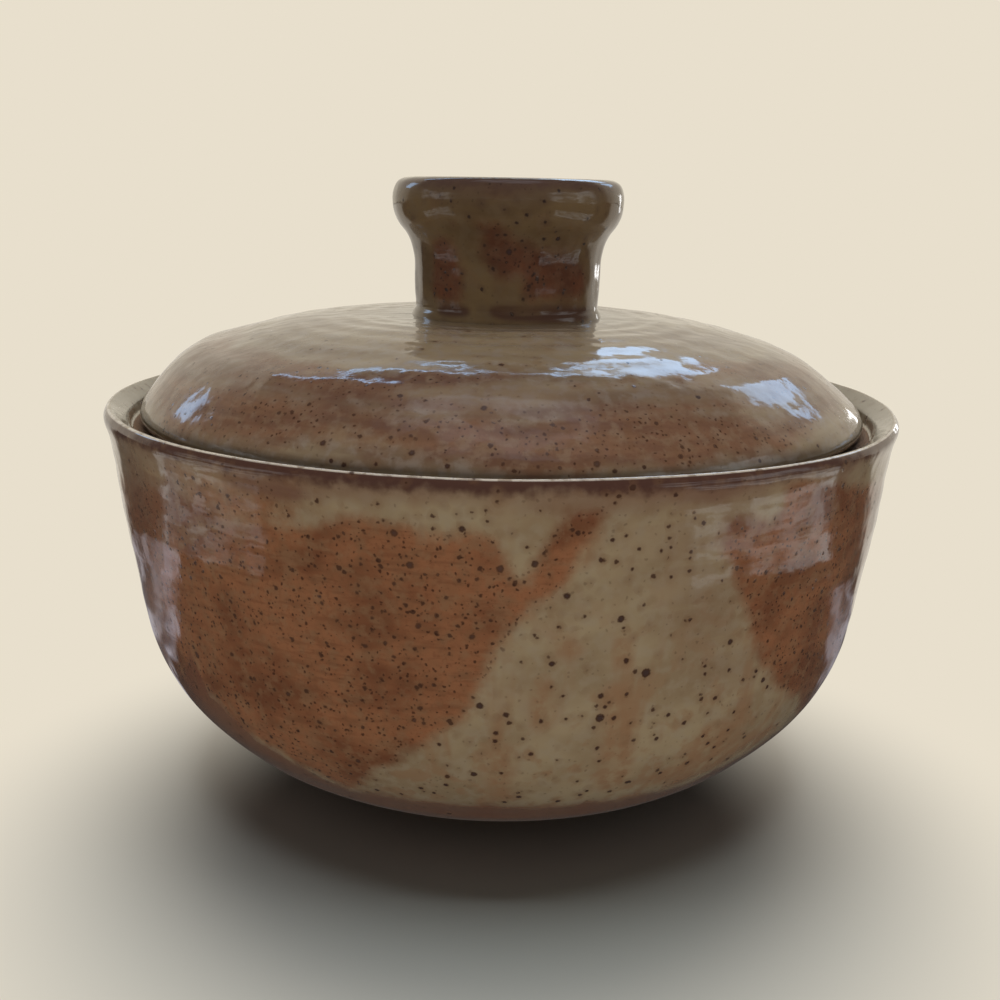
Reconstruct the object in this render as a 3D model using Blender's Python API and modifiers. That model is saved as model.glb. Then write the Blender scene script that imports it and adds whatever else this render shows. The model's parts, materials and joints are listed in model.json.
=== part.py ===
"""A covered casserole dish, thrown in stoneware.

The footed bowl has a gallery, which is a ledge turned inside its rim, and the loose lid sits
on that ledge. A hollow collar knob is joined to the top of the lid. All three are turned on
one upright axis. Lengths are in metres, +Z is up, and the origin is at the middle of the
foot, on the table.
"""

import math

import bpy

NAME = "covered_casserole_dish"

# Steps of a full turn, of each span of a curved outline, and of a rounded edge
TURN_STEPS = 60
SPAN_STEPS = 2
ROUND_STEPS = 3
MERGE_DISTANCE = 0.00001

# Gap between pieces that touch
CONTACT_GAP = 0.0003

# Bowl: rim and wall
RIM_RADIUS = 0.105
RIM_HEIGHT = 0.101
LIP_ROUND = 0.0011
WALL_THICKNESS = 0.006
FLOOR_THICKNESS = 0.0065

# Bowl: the bevel inside the lip, and the gallery that carries the lid
RIM_THICKNESS = 0.006
BEVEL_WIDTH = 0.0042
BEVEL_DROP = 0.0028
GALLERY_DEPTH = 0.0065
GALLERY_ROUND = 0.0012
LEDGE_WIDTH = 0.0115
LEDGE_NOSE_ROUND = 0.0021
COVE_DROP = 0.010

# Bowl: foot ring
FOOT_RADIUS = 0.0495
FOOT_WIDTH = 0.006
FOOT_HEIGHT = 0.0035
FOOT_RECESS = 0.0035
FOOT_ROUND = 0.0007

# Lid
LID_CLEARANCE = 0.0028
LID_RISE = 0.0272
LID_THICKNESS = 0.006
LID_EDGE_ROUND = 0.003
LID_EDGE_WIDTH = 0.0078
LID_SEAT_ROUND = 0.0008
LID_LAND_WIDTH = 0.006

# Knob
KNOB_NECK_RADIUS = 0.0247
KNOB_LIP_RADIUS = 0.0307
KNOB_HEIGHT = 0.0354
KNOB_WALL = 0.0052
KNOB_LIP_THICKNESS = 0.0072
KNOB_LIP_ROUND = 0.0042
KNOB_INNER_ROUND = 0.0028

# Outer wall of the bowl from the foot up to the lip, as shares of its rise above the foot
# and of its reach beyond the foot
WALL_SHARES = (
    (0.0, 0.0),
    (0.017, 0.195),
    (0.067, 0.415),
    (0.142, 0.575),
    (0.245, 0.73),
    (0.38, 0.836),
    (0.57, 0.893),
    (0.785, 0.95),
    (1.0, 1.0),
)
FLOOR_FLAT_SHARE = 0.6

# Top of the lid from the land under the knob out to the edge, as shares of its reach beyond
# the land and of its rise above the seat
DOME_SHARES = (
    (0.0, 1.0),
    (0.2, 0.993),
    (0.36, 0.95),
    (0.52, 0.87),
    (0.65, 0.78),
    (0.765, 0.66),
    (0.86, 0.505),
    (0.933, 0.345),
)
EDGE_START_DEGREES = 38

# Outer side of the knob from under the lip down to the foot, as shares of its height and of
# the flare from neck to lip
KNOB_SHARES = (
    (0.8, 0.99),
    (0.735, 0.94),
    (0.67, 0.76),
    (0.6, 0.44),
    (0.53, 0.21),
    (0.45, 0.09),
    (0.25, 0.02),
    (0.0, -0.03),
)
KNOB_FLARE_END_SHARE = 0.5

# Colour, roughness and metallic value of the glaze on each piece
BOWL_GLAZE = ((0.30, 0.13, 0.055), 0.22, 0.0)
LID_GLAZE = ((0.24, 0.14, 0.09), 0.18, 0.0)
KNOB_GLAZE = ((0.12, 0.065, 0.035), 0.2, 0.0)

# Heights and radii that follow from the sizes above
GALLERY_RADIUS = RIM_RADIUS - RIM_THICKNESS
LEDGE_HEIGHT = RIM_HEIGHT - GALLERY_DEPTH
LID_RADIUS = GALLERY_RADIUS - LID_CLEARANCE
LID_SEAT_HEIGHT = LEDGE_HEIGHT + CONTACT_GAP
LID_LAND_RADIUS = KNOB_NECK_RADIUS + LID_LAND_WIDTH


def arc(radius, height, round_radius, start, end, steps=ROUND_STEPS):
    """Points of a round edge about (radius, height), between two angles in degrees."""
    points = []
    for step in range(steps + 1):
        angle = math.radians(start + (end - start) * step / steps)
        points.append((radius + round_radius * math.cos(angle), height + round_radius * math.sin(angle)))
    return points


def smooth_line(points, steps=SPAN_STEPS):
    """A smooth line through all the points, with the given steps in each span."""
    line = [points[0]]
    for index in range(len(points) - 1):
        start = points[index]
        end = points[index + 1]
        before = points[index - 1] if index > 0 else start
        after = points[index + 2] if index + 2 < len(points) else end
        span = math.dist(start, end)
        slopes = []
        for near, far in ((before, end), (start, after)):
            length = math.dist(near, far)
            slopes.append(tuple((far[axis] - near[axis]) / length * span for axis in (0, 1)))
        for step in range(1, steps + 1):
            t = step / steps
            weights = (
                2 * t**3 - 3 * t**2 + 1,
                t**3 - 2 * t**2 + t,
                3 * t**2 - 2 * t**3,
                t**3 - t**2,
            )
            line.append(
                tuple(
                    weights[0] * start[axis]
                    + weights[1] * slopes[0][axis]
                    + weights[2] * end[axis]
                    + weights[3] * slopes[1][axis]
                    for axis in (0, 1)
                )
            )
    return line


def beside(points, distance):
    """Points at a distance to the left of a line, seen along its own direction."""
    moved = []
    for index, (radius, height) in enumerate(points):
        before = points[max(index - 1, 0)]
        after = points[min(index + 1, len(points) - 1)]
        length = math.dist(before, after)
        moved.append(
            (
                radius - distance * (after[1] - before[1]) / length,
                height + distance * (after[0] - before[0]) / length,
            )
        )
    return moved


def bowl_wall():
    """Points of the bowl's outer wall, from the top of the foot up to the lip."""
    rise = RIM_HEIGHT - LIP_ROUND - FOOT_HEIGHT
    reach = RIM_RADIUS - FOOT_RADIUS
    return [
        (FOOT_RADIUS + radius_share * reach, FOOT_HEIGHT + height_share * rise)
        for height_share, radius_share in WALL_SHARES
    ]


def bowl_inside():
    """Outline of the bowl's inside, from the middle of the floor to the gallery's ledge."""
    floor_height = FOOT_RECESS + FLOOR_THICKNESS
    nose_radius = GALLERY_RADIUS - LEDGE_WIDTH + LEDGE_NOSE_ROUND
    nose_height = LEDGE_HEIGHT - LEDGE_NOSE_ROUND
    nose = arc(nose_radius, nose_height, LEDGE_NOSE_ROUND, 270, 90, 2 * ROUND_STEPS)
    cove_height = nose[0][1] - COVE_DROP
    points = [(0.0, floor_height), (FLOOR_FLAT_SHARE * FOOT_RADIUS, floor_height)]
    for radius, height in beside(bowl_wall(), WALL_THICKNESS):
        if floor_height < height < cove_height:
            points.append((radius, height))
    points.append(nose[0])
    return smooth_line(points) + nose[1:]


def bowl_rim():
    """Outline of the gallery's wall, the bevel inside the lip, and the lip."""
    inner = arc(
        GALLERY_RADIUS - GALLERY_ROUND,
        LEDGE_HEIGHT + GALLERY_ROUND,
        GALLERY_ROUND,
        -90,
        0,
    )
    lip_radius = RIM_RADIUS - LIP_ROUND
    lip_height = RIM_HEIGHT - LIP_ROUND
    slope = math.degrees(math.atan2(BEVEL_DROP, BEVEL_WIDTH))
    lip = arc(lip_radius, lip_height, LIP_ROUND, 90 + slope, 0, 2 * ROUND_STEPS)
    corner_height = lip[0][1] - BEVEL_DROP - GALLERY_ROUND
    corner = arc(GALLERY_RADIUS + GALLERY_ROUND, corner_height, GALLERY_ROUND, 180, 90 + slope)
    return inner + corner + lip


def bowl_foot():
    """Outline of the foot ring and the hollow inside it, down, across and in to the axis."""
    inner_radius = FOOT_RADIUS - FOOT_WIDTH
    return (
        arc(FOOT_RADIUS - FOOT_ROUND, FOOT_ROUND, FOOT_ROUND, 0, -90)
        + arc(inner_radius + FOOT_ROUND, FOOT_ROUND, FOOT_ROUND, -90, -180)
        + arc(inner_radius - FOOT_ROUND, FOOT_RECESS - FOOT_ROUND, FOOT_ROUND, 0, 90)
        + [(0.0, FOOT_RECESS)]
    )


def bowl_profile():
    """Outline of the bowl, from the middle of its floor, over the rim, to under the foot."""
    wall = smooth_line(bowl_wall()[::-1])
    return bowl_inside() + bowl_rim() + wall[1:] + bowl_foot()


def lid_profile():
    """Outline of the lid above its seat, from the middle of its top to under the middle."""
    reach = LID_RADIUS - LID_LAND_RADIUS
    dome = [
        (LID_LAND_RADIUS + radius_share * reach, height_share * LID_RISE)
        for radius_share, height_share in DOME_SHARES
    ]
    edge = arc(
        LID_RADIUS - LID_EDGE_ROUND,
        LID_EDGE_ROUND,
        LID_EDGE_ROUND,
        EDGE_START_DEGREES,
        -90,
        2 * ROUND_STEPS,
    )
    seat_radius = LID_RADIUS - LID_EDGE_WIDTH + LID_SEAT_ROUND
    seat = arc(seat_radius, LID_SEAT_ROUND, LID_SEAT_ROUND, -90, -180)
    under = [seat[-1]] + beside(dome, -LID_THICKNESS)[::-1] + [(0.0, LID_RISE - LID_THICKNESS)]
    return (
        [(0.0, LID_RISE)]
        + smooth_line(dome + [edge[0]])
        + edge[1:]
        + seat
        + smooth_line(under)[1:]
    )


def knob_profile():
    """Outline of the hollow knob above its foot, once round from inside the lip."""
    inner_lip_radius = KNOB_LIP_RADIUS - KNOB_LIP_THICKNESS + KNOB_INNER_ROUND
    bore_radius = KNOB_NECK_RADIUS - KNOB_WALL
    flare = KNOB_LIP_RADIUS - KNOB_NECK_RADIUS
    side = [
        (KNOB_NECK_RADIUS + flare_share * flare, height_share * KNOB_HEIGHT)
        for height_share, flare_share in KNOB_SHARES
    ]
    lip = arc(inner_lip_radius, KNOB_HEIGHT - KNOB_INNER_ROUND, KNOB_INNER_ROUND, 180, 90)
    outer_lip_radius = KNOB_LIP_RADIUS - KNOB_LIP_ROUND
    lip += arc(outer_lip_radius, KNOB_HEIGHT - KNOB_LIP_ROUND, KNOB_LIP_ROUND, 90, 0)
    flare_height = KNOB_FLARE_END_SHARE * KNOB_HEIGHT
    bore = [(bore_radius, 0.0), (bore_radius, flare_height)]
    return lip[:-1] + smooth_line([lip[-1]] + side) + bore


def glaze(name, finish):
    """A glossy glaze with the given colour, roughness and metallic value."""
    colour, roughness, metallic = finish
    material = bpy.data.materials.new(name)
    material.use_nodes = True
    material.diffuse_color = (*colour, 1.0)
    shader = material.node_tree.nodes["Principled BSDF"]
    shader.inputs["Base Color"].default_value = (*colour, 1.0)
    shader.inputs["Roughness"].default_value = roughness
    shader.inputs["Metallic"].default_value = metallic
    return material


def turned(name, profile, closed, material, collection):
    """A solid turned about +Z from an outline that runs down its outer side."""
    mesh = bpy.data.meshes.new(name)
    last = len(profile) if closed else len(profile) - 1
    edges = [(index, (index + 1) % len(profile)) for index in range(last)]
    mesh.from_pydata([(radius, 0.0, height) for radius, height in profile], edges, [])
    mesh.materials.append(material)
    piece = bpy.data.objects.new(name, mesh)
    collection.objects.link(piece)
    screw = piece.modifiers.new("turn", "SCREW")
    screw.axis = "Z"
    screw.angle = math.tau
    screw.steps = TURN_STEPS
    screw.render_steps = TURN_STEPS
    screw.use_merge_vertices = True
    screw.merge_threshold = MERGE_DISTANCE
    screw.use_smooth_shade = True
    return piece


def make_bowl(collection):
    """The footed bowl, standing on the table."""
    return turned("bowl", bowl_profile(), False, glaze("bowl_glaze", BOWL_GLAZE), collection)


def make_lid(collection):
    """The loose lid, resting on the ledge of the gallery."""
    lid = turned("lid", lid_profile(), False, glaze("lid_glaze", LID_GLAZE), collection)
    lid.location = (0.0, 0.0, LID_SEAT_HEIGHT)
    return lid


def make_knob(collection, lid):
    """The hollow knob, joined to the land on top of the lid."""
    knob = turned("knob", knob_profile(), True, glaze("knob_glaze", KNOB_GLAZE), collection)
    knob.parent = lid
    knob.location = (0.0, 0.0, LID_RISE + CONTACT_GAP)
    return knob


def main():
    for old in list(bpy.data.objects):
        bpy.data.objects.remove(old, do_unlink=True)
    collection = bpy.data.collections.new(NAME)
    bpy.context.scene.collection.children.link(collection)
    make_bowl(collection)
    lid = make_lid(collection)
    make_knob(collection, lid)


main()
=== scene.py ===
"""Dresses the covered casserole dish: a wheel-thrown stoneware bowl, its lid and its hollow knob."""
import json
import logging
import math
from dataclasses import dataclass
from enum import Enum

import bpy
import numpy as np
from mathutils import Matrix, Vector

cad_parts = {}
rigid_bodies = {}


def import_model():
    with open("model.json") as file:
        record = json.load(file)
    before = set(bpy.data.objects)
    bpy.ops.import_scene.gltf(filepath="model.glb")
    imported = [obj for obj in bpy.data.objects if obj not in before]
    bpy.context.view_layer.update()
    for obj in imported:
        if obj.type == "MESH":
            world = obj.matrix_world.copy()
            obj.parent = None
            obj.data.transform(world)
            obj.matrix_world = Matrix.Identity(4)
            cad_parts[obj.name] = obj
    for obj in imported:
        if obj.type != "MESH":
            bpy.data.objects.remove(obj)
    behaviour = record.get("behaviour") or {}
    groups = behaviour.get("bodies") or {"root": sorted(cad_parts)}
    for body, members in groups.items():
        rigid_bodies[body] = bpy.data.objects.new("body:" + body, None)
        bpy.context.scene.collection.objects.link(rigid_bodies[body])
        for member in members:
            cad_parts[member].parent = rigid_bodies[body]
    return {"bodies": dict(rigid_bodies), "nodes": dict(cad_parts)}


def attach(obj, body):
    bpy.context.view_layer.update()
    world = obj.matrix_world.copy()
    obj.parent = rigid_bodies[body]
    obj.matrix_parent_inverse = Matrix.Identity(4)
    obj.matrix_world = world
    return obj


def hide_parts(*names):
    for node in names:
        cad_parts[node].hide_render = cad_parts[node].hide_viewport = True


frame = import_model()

log = logging.getLogger("casserole")
MM = 0.001
Colour = tuple[float, float, float]
Pair = tuple[float, float]
Spot = tuple[Vector, float]
Socket = bpy.types.NodeSocket

# The share, the two values and the result of a Mix node, by the kind that it blends
MIX_SOCKETS = {"FLOAT": (0, 2, 3, 0), "RGBA": (0, 6, 7, 2)}
# Soft edge of a card's ends in degrees, for each metre of the soft edge of its sides
CARD_TURN = 260.0
# What a piece's points keep where no glaze is laid: millimetres inside, or shares
UNLAID = {"rust": -40.0, "tint": 0.0, "runs": 0.0, "base": -40.0, "lip": -40.0, "bare": 0.0}


class Push(Enum):
    """The way in which a soft swelling moves the clay."""

    OUTWARD = "NORMAL"
    UPWARD = "Z"


class Axis(Enum):
    """The way in which the glaze streaks run."""

    ROUND = (1 / 42.0, 1 / 42.0, 1 / 3.4)
    DOWN = (1 / 7.5, 1 / 7.5, 1 / 60.0)
    BRUSH = (1 / 9.0, 1 / 9.0, 1 / 1.5)
    CLOUD = (1 / 16.0, 1 / 16.0, 1 / 13.0)


# Small helpers for operators and node trees

def clear_selection() -> None:
    """Leave edit mode and deselect everything."""
    if bpy.context.object and bpy.context.object.mode != "OBJECT":
        bpy.ops.object.mode_set(mode="OBJECT")
    bpy.ops.object.select_all(action="DESELECT")


def take(piece: bpy.types.Object) -> None:
    """Make a piece the only selected and active object.

    Args:
        piece: the object to work on.
    """
    clear_selection()
    piece.select_set(True)
    bpy.context.view_layer.objects.active = piece


class Desk:
    """A bench for laying out shader nodes in one node tree."""

    def __init__(self, tree: bpy.types.NodeTree) -> None:
        """Keep the tree and start laying nodes from its left side.

        Args:
            tree: the node tree to fill.
        """
        self.tree = tree
        self.laid = 0

    def add(self, kind: str, **settings: object) -> bpy.types.Node:
        """Add one node and set its options.

        Args:
            kind: the node's type name after ShaderNode.
            settings: option names and their values.

        Returns:
            The new node.
        """
        node = self.tree.nodes.new("ShaderNode" + kind)
        for name, value in settings.items():
            setattr(node, name, value)
        node.location = (190 * (self.laid // 6), -170 * (self.laid % 6))
        self.laid += 1
        return node

    def feed(self, socket: Socket, value: object) -> None:
        """Link a socket, or set its value.

        Args:
            socket: the input to fill.
            value: another node's output, a number, or a colour.
        """
        if isinstance(value, Socket):
            self.tree.links.new(value, socket)
        elif isinstance(value, tuple) and socket.type == "RGBA":
            socket.default_value = (*value, 1.0)
        else:
            socket.default_value = value

    def math(self, operation: str, first: object, second: object = 0.0, clamp: bool = False) -> Socket:
        """Work out one sum.

        Args:
            operation: the Math node's operation.
            first: its first value.
            second: its second value.
            clamp: keeps the result between 0 and 1.

        Returns:
            The result's socket.
        """
        node = self.add("Math", operation=operation, use_clamp=clamp)
        self.feed(node.inputs[0], first)
        self.feed(node.inputs[1], second)
        return node.outputs[0]

    def times(self, first: object, second: object, clamp: bool = False) -> Socket:
        """Return the product of two values."""
        return self.math("MULTIPLY", first, second, clamp)

    def plus(self, first: object, second: object, clamp: bool = False) -> Socket:
        """Return the sum of two values."""
        return self.math("ADD", first, second, clamp)

    def less(self, first: object, second: object) -> Socket:
        """Return the first value less the second."""
        return self.math("SUBTRACT", first, second)

    def swing(self, noise: object, reach: float) -> Socket:
        """Return noise that swings to both sides of 0, by half its reach."""
        return self.times(self.less(noise, 0.5), reach)

    def vector(self, operation: str, first: object, second: object = None) -> bpy.types.Node:
        """Work out one sum of places.

        Args:
            operation: the Vector Math node's operation.
            first: its first place.
            second: its second place, where it has one.

        Returns:
            The node.
        """
        node = self.add("VectorMath", operation=operation)
        self.feed(node.inputs[0], first)
        if second is not None:
            self.feed(node.inputs[1], second)
        return node

    def split(self, place: Socket) -> bpy.types.Node:
        """Split a place into its X, Y and Z.

        Args:
            place: the place.

        Returns:
            The node.
        """
        node = self.add("SeparateXYZ")
        self.feed(node.inputs[0], place)
        return node

    def mix_shaders(self, share: Socket, first: bpy.types.Node, second: bpy.types.Node) -> Socket:
        """Blend two shaders.

        Args:
            share: how much of the second one shows.
            first: the shader at no share.
            second: the shader at full share.

        Returns:
            The blended shader.
        """
        node = self.add("MixShader")
        for socket, value in zip(node.inputs, (share, first.outputs[0], second.outputs[0])):
            self.feed(socket, value)
        return node.outputs[0]

    def choose(self, share: object, low: object, high: object, kind: str = "FLOAT") -> Socket:
        """Blend two numbers or two colours.

        Args:
            share: how much of the second one counts.
            low: the one at no share.
            high: the one at full share.
            kind: FLOAT for numbers and RGBA for colours.

        Returns:
            The blended one's socket.
        """
        node = self.add("Mix", data_type=kind)
        factor, first, second, result = MIX_SOCKETS[kind]
        for index, value in ((factor, share), (first, low), (second, high)):
            self.feed(node.inputs[index], value)
        return node.outputs[result]

    def blend(self, share: object, low: object, high: object) -> Socket:
        """Blend two colours."""
        return self.choose(share, low, high, "RGBA")

    def coat(self, colour: object, *coats: tuple[object, object]) -> object:
        """Lay coats over a colour, one after the other.

        Args:
            colour: the colour underneath.
            coats: how much of each coat shows, and its colour.

        Returns:
            The coated colour.
        """
        for share, over in coats:
            colour = self.blend(share, colour, over)
        return colour

    def ramp(self, value: object, start: float, end: float, low: float = 0.0, high: float = 1.0) -> Socket:
        """Turn a value into a soft step.

        Args:
            value: the value to read.
            start: where the step starts.
            end: where it ends.
            low: the result before the start.
            high: the result after the end.

        Returns:
            The result's socket.
        """
        node = self.add("MapRange", interpolation_type="SMOOTHSTEP")
        for socket, number in zip(node.inputs, (value, start, end, low, high)):
            self.feed(socket, number)
        return node.outputs[0]

    def noise(self, vector: object, scale: float, detail: float = 2.0) -> Socket:
        """Read soft noise.

        Args:
            vector: the place, in millimetres.
            scale: how many clouds lie along a millimetre.
            detail: how much finer noise is added.

        Returns:
            The noise's value.
        """
        node = self.add("TexNoise")
        self.feed(node.inputs["Vector"], vector)
        node.inputs["Scale"].default_value = scale
        node.inputs["Detail"].default_value = detail
        return node.outputs[0]

    def stretched(self, vector: object, axis: Axis, detail: float = 3.0) -> Socket:
        """Read noise drawn out along the turning or the running of the glaze."""
        return self.noise(self.vector("MULTIPLY", vector, axis.value).outputs[0], 1.0, detail)

    def attribute(self, name: str) -> Socket:
        """Read a number that the piece keeps on its points."""
        return self.add("Attribute", attribute_name=name).outputs["Fac"]

    def use(self, group: bpy.types.NodeTree, **values: object) -> bpy.types.Node:
        """Place a shared effect and fill its inputs.

        Args:
            group: the shared node group.
            values: its inputs by name.

        Returns:
            The group's node.
        """
        node = self.add("Group", node_tree=group)
        for name, value in values.items():
            self.feed(node.inputs[name], value)
        return node


# Effects that several glazes share

class Effects:
    """The shader node groups that the glazes share, with places and heights in millimetres."""

    drift_scale = 0.9
    smallest, size_range = 0.45, 0.9
    stain_width = 6.0
    wide_wander, small_wander = 2.4, 0.8
    wide_noise, small_noise = 0.16, 0.9
    ring_height, swell_height, peel_height, pinhole_depth = 0.05, 0.24, 0.014, 0.1
    swell_noise, peel_noise = (0.13, 1.5), (0.75, 1.0)
    pinholes = {"Cell": 9.0, "Share": 0.34, "Size": 0.42, "Soft": 0.3}

    def __init__(self) -> None:
        """Build every shared effect once."""
        self.specks = self.build_specks()
        self.ragged = self.build_ragged_edge()
        self.skin = self.build_skin()

    @staticmethod
    def start(name: str, given: dict[str, float | None],
              made: tuple[str, ...]) -> tuple[Desk, dict[str, Socket], bpy.types.Node]:
        """Start a node group with its sockets.

        Args:
            name: the group's name.
            given: input names with their usual values, None for a place.
            made: output names.

        Returns:
            A desk on the group, its inputs by name and its output node.
        """
        tree = bpy.data.node_groups.new(name, "ShaderNodeTree")
        for label, value in given.items():
            kind = "NodeSocketVector" if value is None else "NodeSocketFloat"
            socket = tree.interface.new_socket(name=label, in_out="INPUT", socket_type=kind)
            if value is not None:
                socket.default_value = value
        for label in made:
            tree.interface.new_socket(name=label, in_out="OUTPUT", socket_type="NodeSocketFloat")
        source = tree.nodes.new("NodeGroupInput")
        source.location = (-260, 0)
        result = tree.nodes.new("NodeGroupOutput")
        result.location = (1400, 0)
        return Desk(tree), {socket.name: socket for socket in source.outputs if socket.name}, result

    def build_specks(self) -> bpy.types.NodeTree:
        """Build round iron specks of uneven size, strewn through cells.

        Returns:
            A group that puts out the speck and the stain around it.
        """
        desk, given, result = self.start(
            "iron_specks", {"Place": None, "Cell": 4.0, "Share": 0.5, "Size": 0.5, "Soft": 0.2}, ("Speck", "Stain"))
        drift = desk.add("TexNoise")
        desk.feed(drift.inputs["Vector"], given["Place"])
        drift.inputs["Scale"].default_value = self.drift_scale
        cells = desk.add("TexVoronoi", feature="F1")
        desk.feed(cells.inputs["Vector"], desk.vector("ADD", given["Place"], drift.outputs["Color"]).outputs[0])
        desk.feed(cells.inputs["Scale"], desk.math("DIVIDE", 1.0, given["Cell"]))
        chance = desk.add("SeparateColor")
        desk.feed(chance.inputs[0], cells.outputs["Color"])
        there = desk.math("LESS_THAN", chance.outputs[0], given["Share"])
        size = desk.times(given["Size"], desk.plus(desk.times(chance.outputs[1], self.size_range), self.smallest))
        apart = desk.times(cells.outputs["Distance"], given["Cell"])
        inside = desk.less(size, apart)
        edge = desk.plus(desk.math("DIVIDE", inside, given["Soft"]), 0.5, clamp=True)
        halo = desk.math("DIVIDE", inside, desk.times(given["Soft"], self.stain_width))
        stain = desk.plus(halo, 0.9, clamp=True)
        desk.feed(result.inputs["Speck"], desk.times(edge, there))
        desk.feed(result.inputs["Stain"], desk.times(stain, there))
        return desk.tree

    def build_ragged_edge(self) -> bpy.types.NodeTree:
        """Build the edge of a glaze patch from the distance to its outline.

        Returns:
            A group that puts out how much of the patch shows.
        """
        desk, given, result = self.start(
            "patch_edge", {"Place": None, "Distance": 0.0, "Soft": 0.8, "Ragged": 1.5}, ("Patch",))
        wide = desk.swing(desk.noise(given["Place"], self.wide_noise), self.wide_wander)
        small = desk.swing(desk.noise(given["Place"], self.small_noise), self.small_wander)
        wander = desk.plus(wide, small)
        moved = desk.plus(given["Distance"], desk.times(wander, given["Ragged"]))
        width = desk.times(given["Soft"], 2.0)
        share = desk.plus(desk.math("DIVIDE", moved, width), 0.5, clamp=True)
        desk.feed(result.inputs["Patch"], desk.ramp(share, 0.0, 1.0))
        return desk.tree

    def build_skin(self) -> bpy.types.NodeTree:
        """Build the fired glaze's own uneven skin.

        Returns:
            A group that puts out the height in millimetres and the pinholes.
        """
        desk, given, result = self.start("glaze_skin", {"Place": None, "Ripple": 1.0}, ("Height", "Pinhole"))
        rings = desk.times(desk.stretched(given["Place"], Axis.ROUND, 2.0), self.ring_height)
        swell = desk.times(desk.noise(given["Place"], *self.swell_noise), self.swell_height)
        peel = desk.times(desk.noise(given["Place"], *self.peel_noise), self.peel_height)
        level = desk.times(desk.plus(desk.plus(rings, swell), peel), given["Ripple"])
        holes = desk.use(self.specks, Place=given["Place"], **self.pinholes)
        pits = desk.times(holes.outputs["Speck"], self.pinhole_depth)
        desk.feed(result.inputs["Height"], desk.less(level, pits))
        desk.feed(result.inputs["Pinhole"], holes.outputs["Speck"])
        return desk.tree


# The camera and the studio

@dataclass(frozen=True)
class PhotoCamera:
    """The camera at the photograph's viewing angle, in metres and degrees."""

    lens: float = 42.65
    sensor: float = 36.0
    distance: float = 0.3252
    height: float = 0.1532
    tilt: float = 14.387
    roll: float = 1.05
    frame_width: int = 1000
    middle: float = 500.0

    def place(self) -> None:
        """Put the camera in front of the dish and make it the scene's camera."""
        clear_selection()
        turned = (math.radians(90.0 - self.tilt), 0.0, 0.0)
        bpy.ops.object.camera_add(location=(0.0, -self.distance, self.height), rotation=turned)
        camera = bpy.context.object
        camera.name = "photo_camera"
        camera.rotation_euler.rotate_axis("Z", math.radians(self.roll))
        camera.data.lens = self.lens
        camera.data.sensor_width = self.sensor
        camera.data.clip_start = 0.01
        bpy.context.scene.camera = camera

    def sight(self, across: float, down: float) -> tuple[Vector, Vector]:
        """Return the line of sight through one place of the photograph.

        Args:
            across: pixels from the left edge.
            down: pixels from the top edge.

        Returns:
            The camera's place and the direction of sight.
        """
        reach = self.lens / self.sensor * self.frame_width
        right, low = across - self.middle, down - self.middle
        cosine, sine = math.cos(math.radians(self.roll)), math.sin(math.radians(self.roll))
        right, low = right * cosine + low * sine, low * cosine - right * sine
        tilt = math.radians(self.tilt)
        ahead = Vector((0.0, math.cos(tilt), -math.sin(tilt)))
        above = Vector((0.0, math.sin(tilt), math.cos(tilt)))
        way = ahead + Vector((1.0, 0.0, 0.0)) * (right / reach) - above * (low / reach)
        return Vector((0.0, -self.distance, self.height)), way.normalized()


@dataclass(frozen=True)
class SoftBox:
    """One soft lamp: its place, the height on the axis that it faces, its size and its light there."""

    name: str
    place: tuple[float, float, float]
    faces: float
    wide: float
    tall: float
    light: float
    tint: Colour = (1.0, 1.0, 1.0)
    mirrored: bool = True
    flagged: bool = True

    def hang(self) -> bpy.types.Object:
        """Hang the lamp, with the power that gives its light at the point it faces.

        Returns:
            The lamp.
        """
        clear_selection()
        way = Vector((0.0, 0.0, self.faces)) - Vector(self.place)
        bpy.ops.object.light_add(type="AREA", location=self.place, rotation=way.to_track_quat("-Z", "Y").to_euler())
        lamp = bpy.context.object
        lamp.name = self.name
        lamp.data.shape = "RECTANGLE"
        lamp.data.size = self.wide
        lamp.data.size_y = self.tall
        lamp.data.energy = self.light * math.pi ** 2 * way.length_squared
        lamp.data.color = self.tint
        lamp.visible_glossy = self.mirrored
        return lamp


@dataclass(frozen=True)
class Card:
    """A pale patch painted on the floor that glows only for glossy rays, a painted reflection, in metres from the
    dish's axis.

    It reaches from one angle to another, in degrees to the right of the front.
    """

    inner: float
    outer: float
    first: float
    last: float
    bright: Colour
    soft: float = 0.008
    clouded: bool = False

    def cover(self, desk: Desk, reach: Socket, turned: Socket, clouds: Socket) -> Socket:
        """Return where the card lies.

        Args:
            desk: the floor's desk.
            reach: the distance from the axis.
            turned: the angle, in degrees to the right of the front.
            clouds: how bright a clouded card is.

        Returns:
            1 on the card and 0 beside it.
        """
        out = self.between(desk, reach, self.inner, self.outer, self.soft)
        whole = desk.times(out, self.between(desk, turned, self.first, self.last, CARD_TURN * self.soft))
        return desk.times(whole, clouds) if self.clouded else whole

    @staticmethod
    def between(desk: Desk, value: Socket, start: float, end: float, soft: float) -> Socket:
        """Return 1 where a value lies between two others, with steps twice as wide as the soft edge."""
        return desk.times(desk.ramp(value, start - soft, start + soft),
                          desk.ramp(value, end - soft, end + soft, 1.0, 0.0))


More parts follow.
